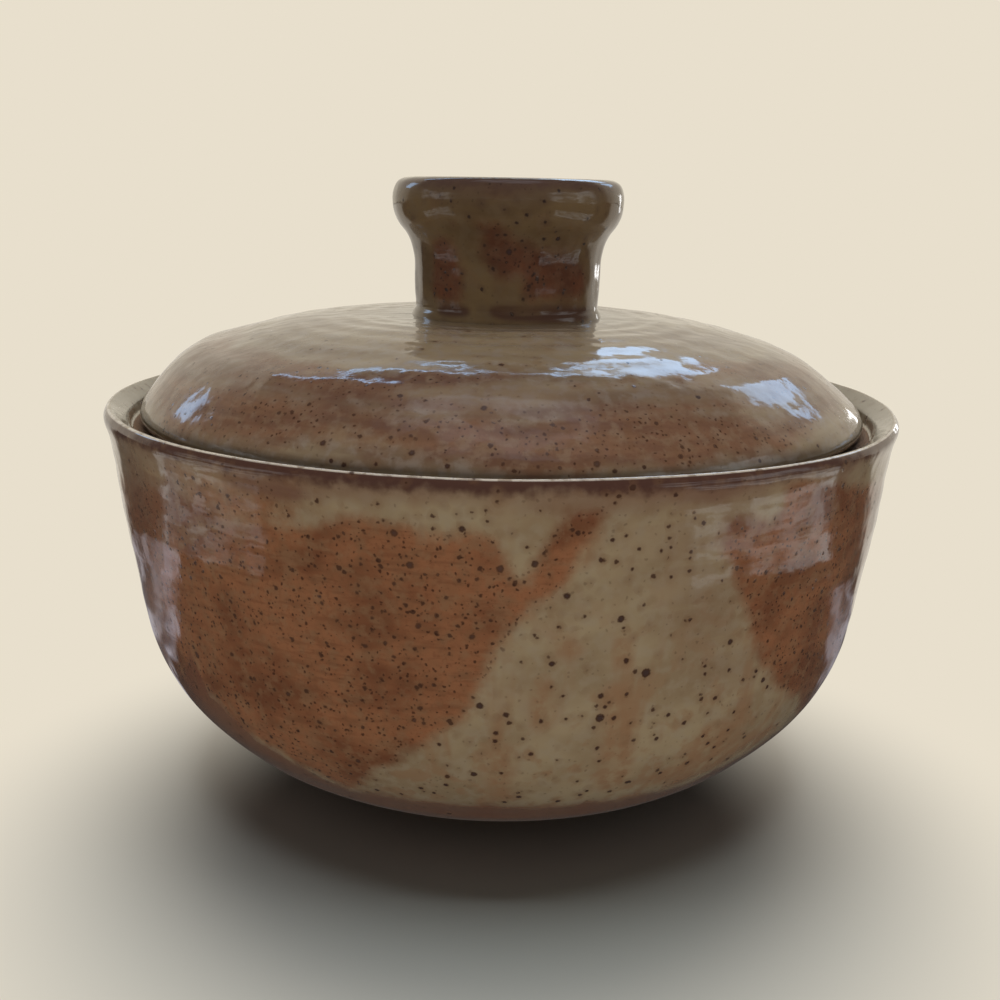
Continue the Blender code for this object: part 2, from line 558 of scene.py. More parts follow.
@dataclass(frozen=True)
class Studio:
    """The pale floor, the plain background and the soft lamps, in metres.

    The cards are painted reflections on the floor and the windows painted reflections in the background: both show
    only in gloss. A window's reach is the height of the way that points at it, from -1 straight down to 1 straight up.
    """

    backdrop: Colour = (0.807, 0.738, 0.610)
    ceiling: Colour = (0.10, 0.10, 0.095)
    ceiling_step: Pair = (0.63, 0.69)
    wall_step: Pair = (0.25, 0.60)
    floor_clay: Colour = (0.67, 0.69, 0.645)
    # Painted shade: the floor's own colour is darker and cooler in the shadow core
    painted_shade_clay: Colour = (0.61, 0.665, 0.640)
    shaded: Pair = (0.035, 0.080)
    room_light: float = 0.075
    floor_width: float = 8.0
    floor_drop: float = 0.0002
    shadow_middle: Colour = (0.001, 0.060, 0.0)
    fade: Pair = (0.056, 0.153)
    # The floor as glossy rays see it, dim off the cards: painted reflection
    dim_floor: Colour = (0.055, 0.050, 0.046)
    # Painted fill light: the floor glows with this colour for diffuse rays near the dish
    fill_glow: Colour = (0.52, 0.49, 0.45)
    fill: Pair = (0.12, 0.18)
    cloud_scale: float = 22.0
    window_clouds: float = 5.0
    cloud_edge: Pair = (0.40, 0.60)
    card_least: float = 0.15
    window_least: float = 0.10
    # Painted reflections: patches on the floor that glow only for glossy rays
    cards: tuple[Card, ...] = (
        Card(0.150, 4.0, 118.0, 200.0, (0.80, 0.74, 0.64), 0.012),
        Card(0.150, 4.0, -200.0, -127.0, (0.80, 0.74, 0.64), 0.012),
        Card(0.080, 0.200, 95.0, 118.0, (0.46, 0.46, 0.52), 0.008, True),
        Card(0.080, 0.250, -127.0, -96.0, (0.50, 0.48, 0.52), 0.008, True),
        Card(0.228, 0.60, -96.0, -56.0, (1.00, 1.03, 1.04), 0.006, True),
        Card(0.135, 0.236, -96.5, -89.0, (0.95, 0.95, 1.10), 0.005, True),
        Card(0.240, 0.60, 44.0, 93.0, (1.12, 1.20, 1.22), 0.006, True),
    )
    # Painted reflections in the background, seen only in gloss
    windows: tuple[Card, ...] = (
        Card(-1.0, 0.30, -96.0, -56.0, (1.00, 1.03, 1.04), 0.020, True),
        Card(-1.0, 0.46, 44.0, 93.0, (1.12, 1.20, 1.22), 0.020, True),
        Card(0.935, 2.0, -400.0, 400.0, (0.72, 0.80, 0.96), 0.020, True),
    )
    sky: Colour = (0.38, 0.64, 1.0)
    lamps: tuple[SoftBox, ...] = (
        SoftBox("roof_box", (0.0, 0.22, 1.45), 0.0, 1.2, 1.2, 0.80, mirrored=False, flagged=False),
        SoftBox("front_box", (-0.35, -2.00, 0.22), 0.06, 2.6, 0.34, 0.72, mirrored=False),
        SoftBox("rear_box", (0.30, 2.00, 0.30), 0.06, 2.2, 0.40, 0.46, mirrored=False),
        SoftBox("left_box", (-1.25, 0.10, 0.40), 0.08, 0.45, 0.7, 0.14, mirrored=False),
        SoftBox("right_box", (1.25, -0.25, 0.35), 0.08, 0.45, 0.6, 0.34, mirrored=False),
        SoftBox("back_box", (0.36, 1.25, 1.00), 0.11, 0.46, 0.28, 0.062, sky),
        SoftBox("back_strip", (-0.16, 1.15, 1.27), 0.11, 1.30, 0.05, 0.042, sky),
        SoftBox("back_post", (0.85, 1.17, 0.16), 0.13, 0.07, 0.30, 0.016),
        SoftBox("back_right_box", (0.81, 0.96, 0.82), 0.11, 0.30, 0.34, 0.046, sky),
        SoftBox("back_left_box", (-1.06, 0.66, 0.64), 0.11, 0.20, 0.26, 0.028, sky),
    )

    def seen_directly(self, desk: Desk) -> Socket:
        """Tell rays from the camera, gloss and glass from the rays that light things.

        Args:
            desk: the node tree to work in.

        Returns:
            1 for a ray that sees the background.
        """
        path = desk.add("LightPath")
        bright = desk.plus(path.outputs["Is Camera Ray"], path.outputs["Is Glossy Ray"])
        return desk.plus(bright, path.outputs["Is Transmission Ray"], clamp=True)

    @staticmethod
    def turned(desk: Desk, split: bpy.types.Node) -> Socket:
        """Return how far round the dish a split place lies, in degrees to the right of the front."""
        back = desk.times(split.outputs["Y"], -1.0)
        return desk.math("DEGREES", desk.math("ARCTAN2", split.outputs["X"], back))

    def fill_world(self) -> None:
        """Make a plain background with soft light from all round."""
        world = bpy.data.worlds.new("plain_room")
        bpy.context.scene.world = world
        world.use_nodes = True
        desk = Desk(world.node_tree)
        desk.tree.nodes.clear()
        room, wall = desk.add("Background"), desk.add("Background")
        room.inputs["Strength"].default_value = self.room_light
        way = desk.add("TexCoord").outputs["Generated"]
        level = desk.split(way)
        gloss = desk.add("LightPath").outputs["Is Glossy Ray"]
        overhead = desk.ramp(level.outputs["Z"], *self.ceiling_step)
        front = desk.ramp(level.outputs["Y"], *self.wall_step, 1.0, 0.0)
        overhead = desk.math("MAXIMUM", overhead, desk.times(front, gloss))
        turned = self.turned(desk, level)
        clouds = desk.ramp(desk.noise(way, self.window_clouds, 3.0), *self.cloud_edge, self.window_least)
        shown = desk.blend(overhead, self.backdrop, self.ceiling)
        for window in self.windows:
            cover = window.cover(desk, level.outputs["Z"], turned, clouds)
            shown = desk.blend(desk.times(cover, gloss), shown, window.bright)
        desk.feed(wall.inputs["Color"], shown)
        chosen = desk.mix_shaders(self.seen_directly(desk), room, wall)
        desk.feed(desk.add("OutputWorld").inputs["Surface"], chosen)

    def lay_floor(self) -> None:
        """Lay a pale floor that keeps the shadow and fades into the background. It glows for gloss with painted
        reflections, glows for diffuse rays near the dish as a painted fill light, and its colour is painted darker in
        the shadow core.
        """
        clear_selection()
        bpy.ops.mesh.primitive_plane_add(size=self.floor_width, location=(0.0, 0.0, -self.floor_drop))
        floor = bpy.context.object
        floor.name = "studio_floor"
        material = bpy.data.materials.new("pale_floor")
        material.use_nodes = True
        desk = Desk(material.node_tree)
        desk.tree.nodes.clear()
        place = desk.add("TexCoord").outputs["Object"]
        shifted = desk.vector("ADD", place, self.shadow_middle)
        away = desk.vector("LENGTH", shifted.outputs[0]).outputs["Value"]
        split = desk.split(place)
        reach = desk.vector("LENGTH", place).outputs["Value"]
        turned = self.turned(desk, split)
        clouds = desk.ramp(desk.noise(place, self.cloud_scale), *self.cloud_edge, self.card_least)
        shown = self.dim_floor
        for card in self.cards:
            shown = desk.blend(card.cover(desk, reach, turned, clouds), shown, card.bright)
        path = desk.add("LightPath")
        gloss = path.outputs["Is Glossy Ray"]
        # Painted fill light: near the dish the floor glows for diffuse rays, lighting the underside
        soft_light = desk.times(path.outputs["Is Diffuse Ray"], desk.ramp(reach, *self.fill))
        matt, glow = desk.add("BsdfDiffuse"), desk.add("Emission")
        # Painted shade: the floor's colour turns darker and cooler towards the shadow core
        open_floor = desk.ramp(away, *self.shaded)
        desk.feed(matt.inputs["Color"], desk.blend(open_floor, self.painted_shade_clay, self.floor_clay))
        lit = desk.blend(soft_light, self.backdrop, self.fill_glow)
        desk.feed(glow.inputs["Color"], desk.blend(gloss, lit, shown))
        seen = desk.times(desk.ramp(away, *self.fade), self.seen_directly(desk))
        glows = desk.math("MAXIMUM", seen, desk.math("MAXIMUM", gloss, soft_light))
        desk.feed(desk.add("OutputMaterial").inputs["Surface"], desk.mix_shaders(glows, matt, glow))
        floor.data.materials.append(material)

    @staticmethod
    def lit_pieces() -> bpy.types.Collection:
        """Find the collection of pieces that flagged lamps light, which leaves out the floor.

        Returns:
            The collection, made at the first call.
        """
        name = "lit_pieces"
        if name not in bpy.data.collections:
            bpy.context.scene.collection.children.link(bpy.data.collections.new(name))
        return bpy.data.collections[name]

    def build(self) -> None:
        """Set the plain view and build floor, background and lamps."""
        bpy.context.scene.view_settings.view_transform = "Standard"
        self.fill_world()
        self.lay_floor()
        for box in self.lamps:
            lamp = box.hang()
            if box.flagged:
                lamp.light_linking.receiver_collection = self.lit_pieces()


# Glazes

@dataclass(frozen=True)
class Glaze:
    """An iron-speckled stoneware glaze over brown clay. Colours are linear."""

    name: str
    pale: Colour = (0.226, 0.170, 0.100)
    pale_deep: Colour = (0.178, 0.126, 0.072)
    pale_grey: Colour = (0.214, 0.168, 0.112)
    run: Colour = (0.184, 0.104, 0.054)
    rust: Colour = (0.190, 0.079, 0.036)
    rust_deep: Colour = (0.105, 0.038, 0.017)
    rust_faded: Colour = (0.166, 0.090, 0.046)
    stain: Colour = (0.120, 0.062, 0.030)
    blush: Colour = (0.112, 0.056, 0.036)
    lip: Colour = (0.050, 0.021, 0.015)
    lip_band: Colour = (0.145, 0.084, 0.052)
    # Pale grey on the upward-facing inner bevel below the crest: painted reflection
    bevel: Colour = (0.255, 0.222, 0.160)
    # Pale crest on the lip: partly glaze worn thin over it, partly a painted highlight along the crest
    crest: Colour = (0.56, 0.50, 0.42)
    crest_wear_and_highlight_share: float = 0.75
    base: Colour = (0.108, 0.041, 0.023)
    iron: Colour = (0.034, 0.013, 0.007)
    iron_pool: Colour = (0.030, 0.016, 0.015)
    clay: Colour = (0.225, 0.135, 0.078)
    gloss: float = 0.085
    ripple: float = 1.0
    streaks: float = 0.50
    banding: float = 0.12
    speckle: float = 1.0
    edge_soft: float = 2.3
    edge_ragged: float = 1.7

    # Noise: how many clouds lie along a millimetre, and how much finer noise is added
    mottle_noise, grain_noise, blotch_noise, grit_noise = (0.33, 4.0), (1.1, 3.0), (0.17, 5.0), (2.2, 4.0)
    shine_noise, spot_noise = 0.25, 1.3
    # Specks, in millimetres
    fine_specks = {"Cell": 1.25, "Size": 0.27, "Soft": 0.24}
    grain_specks = {"Cell": 2.6, "Size": 0.44, "Soft": 0.26}
    pool_specks, pool_crowd = {"Cell": 19.0, "Size": 0.90, "Soft": 0.36}, 0.60
    # Soft steps: where each starts and ends, and what it runs from and to. Heights and distances
    # from the lip are in millimetres, and the rest are noise.
    pale_step = (0.34, 0.64)
    grey_step = (0.42, 0.66, 0.0, 0.45)
    run_step, run_height, run_share = (0.50, 0.68), (35.0, 80.0, 1.0, 0.15), 2.0
    drawn_step = (0.34, 0.60, 0.35, 0.95)
    blotch_step, blotch_height, blotch_share = (0.53, 0.64), (25.0, 90.0, 1.0, 0.25), 1.2
    rust_step = (0.36, 0.62)
    faded_step = (0.46, 0.66, 0.0, 0.60)
    grain_step = (0.50, 0.70, 0.0, 0.35)
    brush_step = (0.50, 0.66, 0.0, 0.40)
    blush_step = (0.25, 0.50)
    band_step, below_crest = (3.0, 9.0, 0.65, 0.0), (-0.4, 0.4)
    bevel_start, bevel_end = (-7.0, -5.0), (-1.0, -0.2, 0.8, 0.0)
    dark_step, dark_start = (1.2, 4.6, 0.95, 0.0), (0.1, 0.5)
    crest_step, worn_step = (0.15, 0.55), (0.36, 0.52, 0.35, 1.0)
    grit_step, bare_step = (0.4, 0.62), (0.4, 0.6)
    shine_step = (0.45, 0.75)
    # How far noise moves the edges, and the softness and raggedness of the dark base's edge
    band_wander, dark_wander, spot_wander, bare_wander = 9.0, 5.0, 0.7, 0.5
    base_edge = (2.6, 2.8)
    # How strongly the specks show, on the pale glaze and on the rust
    crowd_share, fine_share, grain_share, spot_share = (0.30, 0.95), (0.30, 0.85), (0.85, 0.80), (0.93, 0.74)
    base_share, pool_share, grain_stain, spot_stain, hole_share = 0.82, 0.90, 0.40, 0.34, 0.5
    spot_soft, spot_halo, halo_reach, spot_core, no_spot = 0.32, 1.8, 0.8, (0.1, 0.7), -50.0
    # Roughness and heights in millimetres, the clay's shade in its grit and the glaze's index
    mark_rough, cloud_rough, clay_rough = 0.16, 0.05, 0.88
    mark_height, grit_height = 0.012, 0.16
    clay_shade = 0.62
    index = 1.48

    def colour_fields(self, desk: Desk, effects: Effects, place: Socket) -> tuple[Socket, Socket]:
        """Lay out the pale glaze, the rust patches and the tints.

        Args:
            desk: the material's desk.
            effects: the shared effects.
            place: the place on the piece, in millimetres.

        Returns:
            The colour without its specks, and how much rust shows.
        """
        cloud = desk.stretched(place, Axis.CLOUD)
        turning = desk.stretched(place, Axis.ROUND)
        running = desk.stretched(place, Axis.DOWN)
        mottle = desk.noise(place, *self.mottle_noise)
        grain = desk.noise(place, *self.grain_noise)
        uneven = desk.choose(self.banding, cloud, turning)
        high = desk.split(place).outputs["Z"]
        runs = desk.times(desk.ramp(running, *self.run_step), desk.ramp(high, *self.run_height))
        drawn = desk.times(desk.attribute("runs"), desk.ramp(mottle, *self.drawn_step))
        blotch = desk.times(desk.ramp(desk.noise(place, *self.blotch_noise), *self.blotch_step),
                            desk.ramp(high, *self.blotch_height))
        pale = desk.coat(self.pale_deep, (desk.ramp(uneven, *self.pale_step), self.pale),
                         (desk.ramp(mottle, *self.grey_step), self.pale_grey),
                         (desk.times(runs, self.streaks * self.run_share, clamp=True), self.run),
                         (drawn, self.run),
                         (desk.times(blotch, self.streaks * self.blotch_share, clamp=True), self.run))
        rust = desk.coat(self.rust_deep, (desk.ramp(uneven, *self.rust_step), self.rust),
                         (desk.ramp(mottle, *self.faded_step), self.rust_faded),
                         (desk.ramp(grain, *self.grain_step), self.rust_deep),
                         (desk.ramp(desk.stretched(place, Axis.BRUSH), *self.brush_step), self.rust_deep))
        rusty, band = (desk.use(effects.ragged, Place=place, Distance=desk.attribute(name), Soft=soft, Ragged=ragged)
                       .outputs[0] for name, soft, ragged in (("rust", self.edge_soft, self.edge_ragged),
                                                              ("base", *self.base_edge)))
        lip = desk.attribute("lip")
        from_lip = desk.plus(lip, desk.swing(cloud, self.band_wander))
        near_lip = desk.plus(lip, desk.swing(mottle, self.dark_wander))
        below = desk.times(desk.ramp(from_lip, *self.band_step), desk.ramp(lip, *self.below_crest))
        blushing = desk.times(desk.attribute("tint"), desk.ramp(turning, *self.blush_step))
        # Inner bevel colour: a painted reflection on the bowl, painted shade on the darkened knob
        bevel = desk.times(desk.ramp(lip, *self.bevel_start), desk.ramp(lip, *self.bevel_end))
        dark = desk.times(desk.ramp(near_lip, *self.dark_step), desk.ramp(lip, *self.dark_start))
        # The pale crest line: glaze worn thin, with a painted highlight
        worn = desk.times(desk.ramp(desk.math("ABSOLUTE", lip), *self.crest_step, self.crest_wear_and_highlight_share, 0.0),
                          desk.ramp(mottle, *self.worn_step))
        body = desk.coat(pale, (rusty, rust), (desk.times(band, self.base_share), self.base), (below, self.lip_band),
                         (blushing, self.blush), (bevel, self.bevel), (dark, self.lip), (worn, self.crest))
        return body, rusty

    def add_specks(self, desk: Desk, effects: Effects, place: Socket, body: Socket,
                   rusty: Socket, spots: tuple[Spot, ...]) -> tuple[Socket, Socket]:
        """Strew iron specks and set the large spots.

        Args:
            desk: the material's desk.
            effects: the shared effects.
            place: the place on the piece, in millimetres.
            body: the colour under the specks.
            rusty: how much rust shows.
            spots: place and radius of each large spot, in millimetres.

        Returns:
            The colour with specks, and the mask of all specks.
        """
        crowd = desk.times(desk.ramp(rusty, 0.0, 1.0, *self.crowd_share), self.speckle)
        fine = desk.use(effects.specks, Place=place, Share=crowd, **self.fine_specks)
        grains = desk.use(effects.specks, Place=place, Share=crowd, **self.grain_specks)
        pools = desk.use(effects.specks, Place=place, Share=self.pool_crowd * self.speckle, **self.pool_specks)
        dust, iron = (desk.times(specks.outputs["Speck"], desk.ramp(rusty, 0.0, 1.0, *share))
                      for specks, share in ((fine, self.fine_share), (grains, self.grain_share)))
        body = desk.coat(body, (desk.times(grains.outputs["Stain"], self.grain_stain), self.stain),
                         (dust, self.iron), (iron, self.iron),
                         (desk.times(pools.outputs["Speck"], self.pool_share), self.iron_pool))
        marks = desk.math("MAXIMUM", grains.outputs["Speck"], pools.outputs["Speck"])
        if not spots:
            return body, marks
        depth: object = self.no_spot
        for centre, radius in spots:
            apart = desk.vector("DISTANCE", place, centre).outputs["Value"]
            depth = desk.math("MAXIMUM", depth, desk.less(radius, apart))
        depth = desk.plus(depth, desk.swing(desk.noise(place, self.spot_noise), self.spot_wander))
        stain = desk.plus(desk.math("DIVIDE", depth, self.spot_halo), self.halo_reach, clamp=True)
        spot = desk.plus(desk.math("DIVIDE", depth, self.spot_soft), 0.5, clamp=True)
        iron = desk.blend(desk.ramp(depth, *self.spot_core), self.iron, self.iron_pool)
        body = desk.coat(body, (desk.times(stain, self.spot_stain), self.stain),
                         (desk.times(spot, desk.ramp(rusty, 0.0, 1.0, *self.spot_share)), iron))
        return body, desk.math("MAXIMUM", marks, spot)

    def fire(self, effects: Effects, spots: tuple[Spot, ...] = ()) -> bpy.types.Material:
        """Make the glaze's material.

        Args:
            effects: the shared effects.
            spots: place and radius of each large spot, in millimetres.

        Returns:
            The material.
        """
        material = bpy.data.materials.new(self.name)
        material.use_nodes = True
        desk = Desk(material.node_tree)
        desk.tree.nodes.clear()
        scaled = desk.add("Mapping")
        scaled.inputs["Scale"].default_value = (1 / MM, 1 / MM, 1 / MM)
        desk.feed(scaled.inputs["Vector"], desk.add("TexCoord").outputs["Object"])
        place = scaled.outputs[0]
        body, marks = self.add_specks(desk, effects, place, *self.colour_fields(desk, effects, place), spots)
        skin = desk.use(effects.skin, Place=place, Ripple=self.ripple)
        body = desk.blend(desk.times(skin.outputs["Pinhole"], self.hole_share), body, self.lip)
        grit = desk.noise(place, *self.grit_noise)
        shade = tuple(self.clay_shade * part for part in self.clay)
        clay = desk.blend(desk.ramp(grit, *self.grit_step), self.clay, shade)
        bare = desk.ramp(desk.plus(desk.attribute("bare"), desk.swing(grit, self.bare_wander)), *self.bare_step)
        shine = desk.plus(self.gloss, desk.times(marks, self.mark_rough))
        clouded = desk.ramp(desk.noise(place, self.shine_noise), *self.shine_step)
        shine = desk.plus(shine, desk.times(clouded, self.cloud_rough))
        height = desk.plus(skin.outputs["Height"], desk.times(marks, self.mark_height))
        bump = desk.add("Bump")
        bump.inputs["Distance"].default_value = MM
        desk.feed(bump.inputs["Height"], desk.choose(bare, height, desk.times(grit, self.grit_height)))
        surface = desk.add("BsdfPrincipled")
        surface.inputs["IOR"].default_value = self.index
        desk.feed(surface.inputs["Base Color"], desk.blend(bare, body, clay))
        desk.feed(surface.inputs["Roughness"], desk.choose(bare, shine, self.clay_rough))
        desk.feed(surface.inputs["Normal"], bump.outputs[0])
        desk.feed(desk.add("OutputMaterial").inputs["Surface"], surface.outputs[0])
        return material


# Turned clay

def soft_step(values: np.ndarray) -> np.ndarray:
    """Return a soft step from 0 to 1 for numbers, which is halfway at 0 and as wide as 1."""
    share = np.clip(values + 0.5, 0.0, 1.0)
    return share * share * (3.0 - 2.0 * share)


def soft_window(values: np.ndarray, start: float, end: float, soft: float) -> np.ndarray:
    """Return 1 between two values, falling to 0 outside them over a soft width."""
    return soft_step(np.minimum(values - start, end - values) / soft)


@dataclass(frozen=True)
class Station:
    """One place on a turned outline, in millimetres from the axis and above the floor.

    The outline runs smoothly through a station with no bend, and turns a corner rounded over
    the length of its bend otherwise.
    """

    reach: float
    height: float
    bend: float = 0.0


def drawn_through(*places: tuple[float, ...]) -> tuple[Station, ...]:
    """Return the stations of an outline, each from its reach, its height and its bend, if any."""
    return tuple(Station(*place) for place in places)


@dataclass(frozen=True)
class Rings:
    """Finger rings left by throwing on the stretch between two stations, in millimetres."""

    first: int
    last: int
    depth: float
    pitch: float


@dataclass(frozen=True)
class Patch:
    """A patch of glaze, drawn by places seen in the photograph and by places round the piece.

    Places seen are pixels across and down the 1000 pixel frame. Places round the piece are
    degrees to the right of the front, and millimetres along the outline.
    """

    seen: tuple[Pair, ...] = ()
    round_piece: tuple[Pair, ...] = ()
    strength: float = 1.0
    soft: float = 1.0


class Outline:
    """A finely drawn outline that is turned about the axis, in millimetres and degrees."""

    fine_step = 0.2
    corner_steps = 13
    corner_gap = 1e-6
    ring_fade, ring_least = 7.0, 0.65
    pitch_drift, depth_drift = (0.9, 11.0, 0.0), (0.35, 17.0, 1.0)
    block = 4000
    least_gap = 0.3
    most_turn = 8.0

    def __init__(self, stations: tuple[Station, ...], rings: tuple[Rings, ...]) -> None:
        """Draw the outline through its stations.

        Args:
            stations: the places that it runs through.
            rings: the finger rings on it.
        """
        self.points = self.round_corners(self.draw(stations), stations)
        self.along = self.measure(self.points)
        self.marks = self.nearest(np.array([(station.reach, station.height) for station in stations]))
        self.add_rings(rings)
        self.along = self.measure(self.points)

    @staticmethod
    def measure(points: np.ndarray) -> np.ndarray:
        """Return the length along a line at each of its points, in millimetres."""
        return np.concatenate(([0.0], np.cumsum(np.linalg.norm(np.diff(points, axis=0), axis=1))))

    def run_through(self, places: np.ndarray) -> np.ndarray:
        """Draw a smooth line through places.

        Args:
            places: two or more places.

        Returns:
            Close points on the line.
        """
        gaps = np.linalg.norm(np.diff(places, axis=0), axis=1)
        slopes = np.diff(places, axis=0) / gaps[:, None]
        ways = np.empty_like(places)
        ways[0], ways[-1] = slopes[0], slopes[-1]
        for index in range(1, len(places) - 1):
            before, after = gaps[index - 1], gaps[index]
            ways[index] = (slopes[index - 1] * after + slopes[index] * before) / (before + after)
        line = [places[:1]]
        for index, gap in enumerate(gaps):
            share = np.linspace(0.0, 1.0, max(2, math.ceil(gap / self.fine_step)) + 1)[1:, None]
            square, cube = share ** 2, share ** 3
            line.append((2 * cube - 3 * square + 1) * places[index]
                        + (cube - 2 * square + share) * gap * ways[index]
                        + (3 * square - 2 * cube) * places[index + 1]
                        + (cube - square) * gap * ways[index + 1])
        return np.vstack(line)

    def draw(self, stations: tuple[Station, ...]) -> np.ndarray:
        """Draw smooth runs from corner to corner.

        Args:
            stations: the places that the outline runs through.

        Returns:
            Close points along the whole outline.
        """
        places = np.array([(station.reach, station.height) for station in stations])
        bends = (index for index, station in enumerate(stations) if station.bend > 0.0)
        corners = sorted({0, len(stations) - 1, *bends})
        line = places[:1]
        for first, last in zip(corners, corners[1:]):
            line = np.vstack((line, self.run_through(places[first:last + 1])[1:]))
        return line

    def round_corners(self, line: np.ndarray, stations: tuple[Station, ...]) -> np.ndarray:
        """Round the corners by their bends.

        Args:
            line: the outline with sharp corners.
            stations: the places that it runs through.

        Returns:
            The rounded outline.
        """
        for station in stations:
            if station.bend <= 0.0:
                continue
            along = self.measure(line)
            corner = np.array((station.reach, station.height))
            middle = along[np.argmin(np.linalg.norm(line - corner, axis=1))]
            start, end = middle - station.bend, middle + station.bend
            entry, leave = (np.array([np.interp(at, along, line[:, axis]) for axis in (0, 1)]) for at in (start, end))
            share = np.linspace(0.0, 1.0, self.corner_steps)[:, None]
            arc = (1 - share) ** 2 * entry + 2 * share * (1 - share) * corner + share ** 2 * leave
            before, after = along < start - self.corner_gap, along > end + self.corner_gap
            line = np.vstack((line[before], arc, line[after]))
        return line

    def add_rings(self, rings: tuple[Rings, ...]) -> None:
        """Raise the finger rings on the outline, with a pitch and a depth that drift as a hand's do.

        Args:
            rings: the rings to raise.
        """
        for ring in rings:
            along = self.measure(self.points)
            ways = np.gradient(self.points, axis=0)
            ways /= np.linalg.norm(ways, axis=1)[:, None]
            outward = np.stack((ways[:, 1], -ways[:, 0]), axis=1)
            into, left = along - self.where(ring.first), self.where(ring.last) - along
            inside = np.clip(into / self.ring_fade, 0.0, 1.0) * np.clip(left / self.ring_fade, 0.0, 1.0)
            wander, waver = (height * np.sin(into / length + phase)
                             for height, length, phase in (self.pitch_drift, self.depth_drift))
            turns = 2 * math.pi * into / ring.pitch + wander
            height = ring.depth * np.sin(turns) * (self.ring_least + waver) * inside
            self.points = self.points + outward * height[:, None]

    def where(self, index: int) -> float:
        """Return how far along the outline a station lies, by its index."""
        return self.marks[index]

    def nearest(self, places: np.ndarray) -> np.ndarray:
        """Return how far along the outline each place lies.

        Args:
            places: reach and height of each place, in millimetres.

        Returns:
            The length along the outline.
        """
        found = np.empty(len(places))
        for start in range(0, len(places), self.block):
            part = slice(start, start + self.block)
            apart = ((places[part, None, :] - self.points[None, :, :]) ** 2).sum(axis=2)
            found[part] = self.along[apart.argmin(axis=1)]
        return found

    def thinned(self, longest: float) -> np.ndarray:
        """Return fewer points, close together where the outline bends.

        Args:
            longest: the longest gap.

        Returns:
            The points that are kept.
        """
        ways = np.diff(self.points, axis=0)
        headings = np.unwrap(np.arctan2(ways[:, 1], ways[:, 0]))
        kept = [0]
        for index in range(1, len(self.points) - 1):
            far = self.along[index] - self.along[kept[-1]]
            turned = abs(headings[index] - headings[kept[-1]])
            if far >= longest or turned > math.radians(self.most_turn) and far > self.least_gap:
                kept.append(index)
        return self.points[kept + [len(self.points) - 1]]


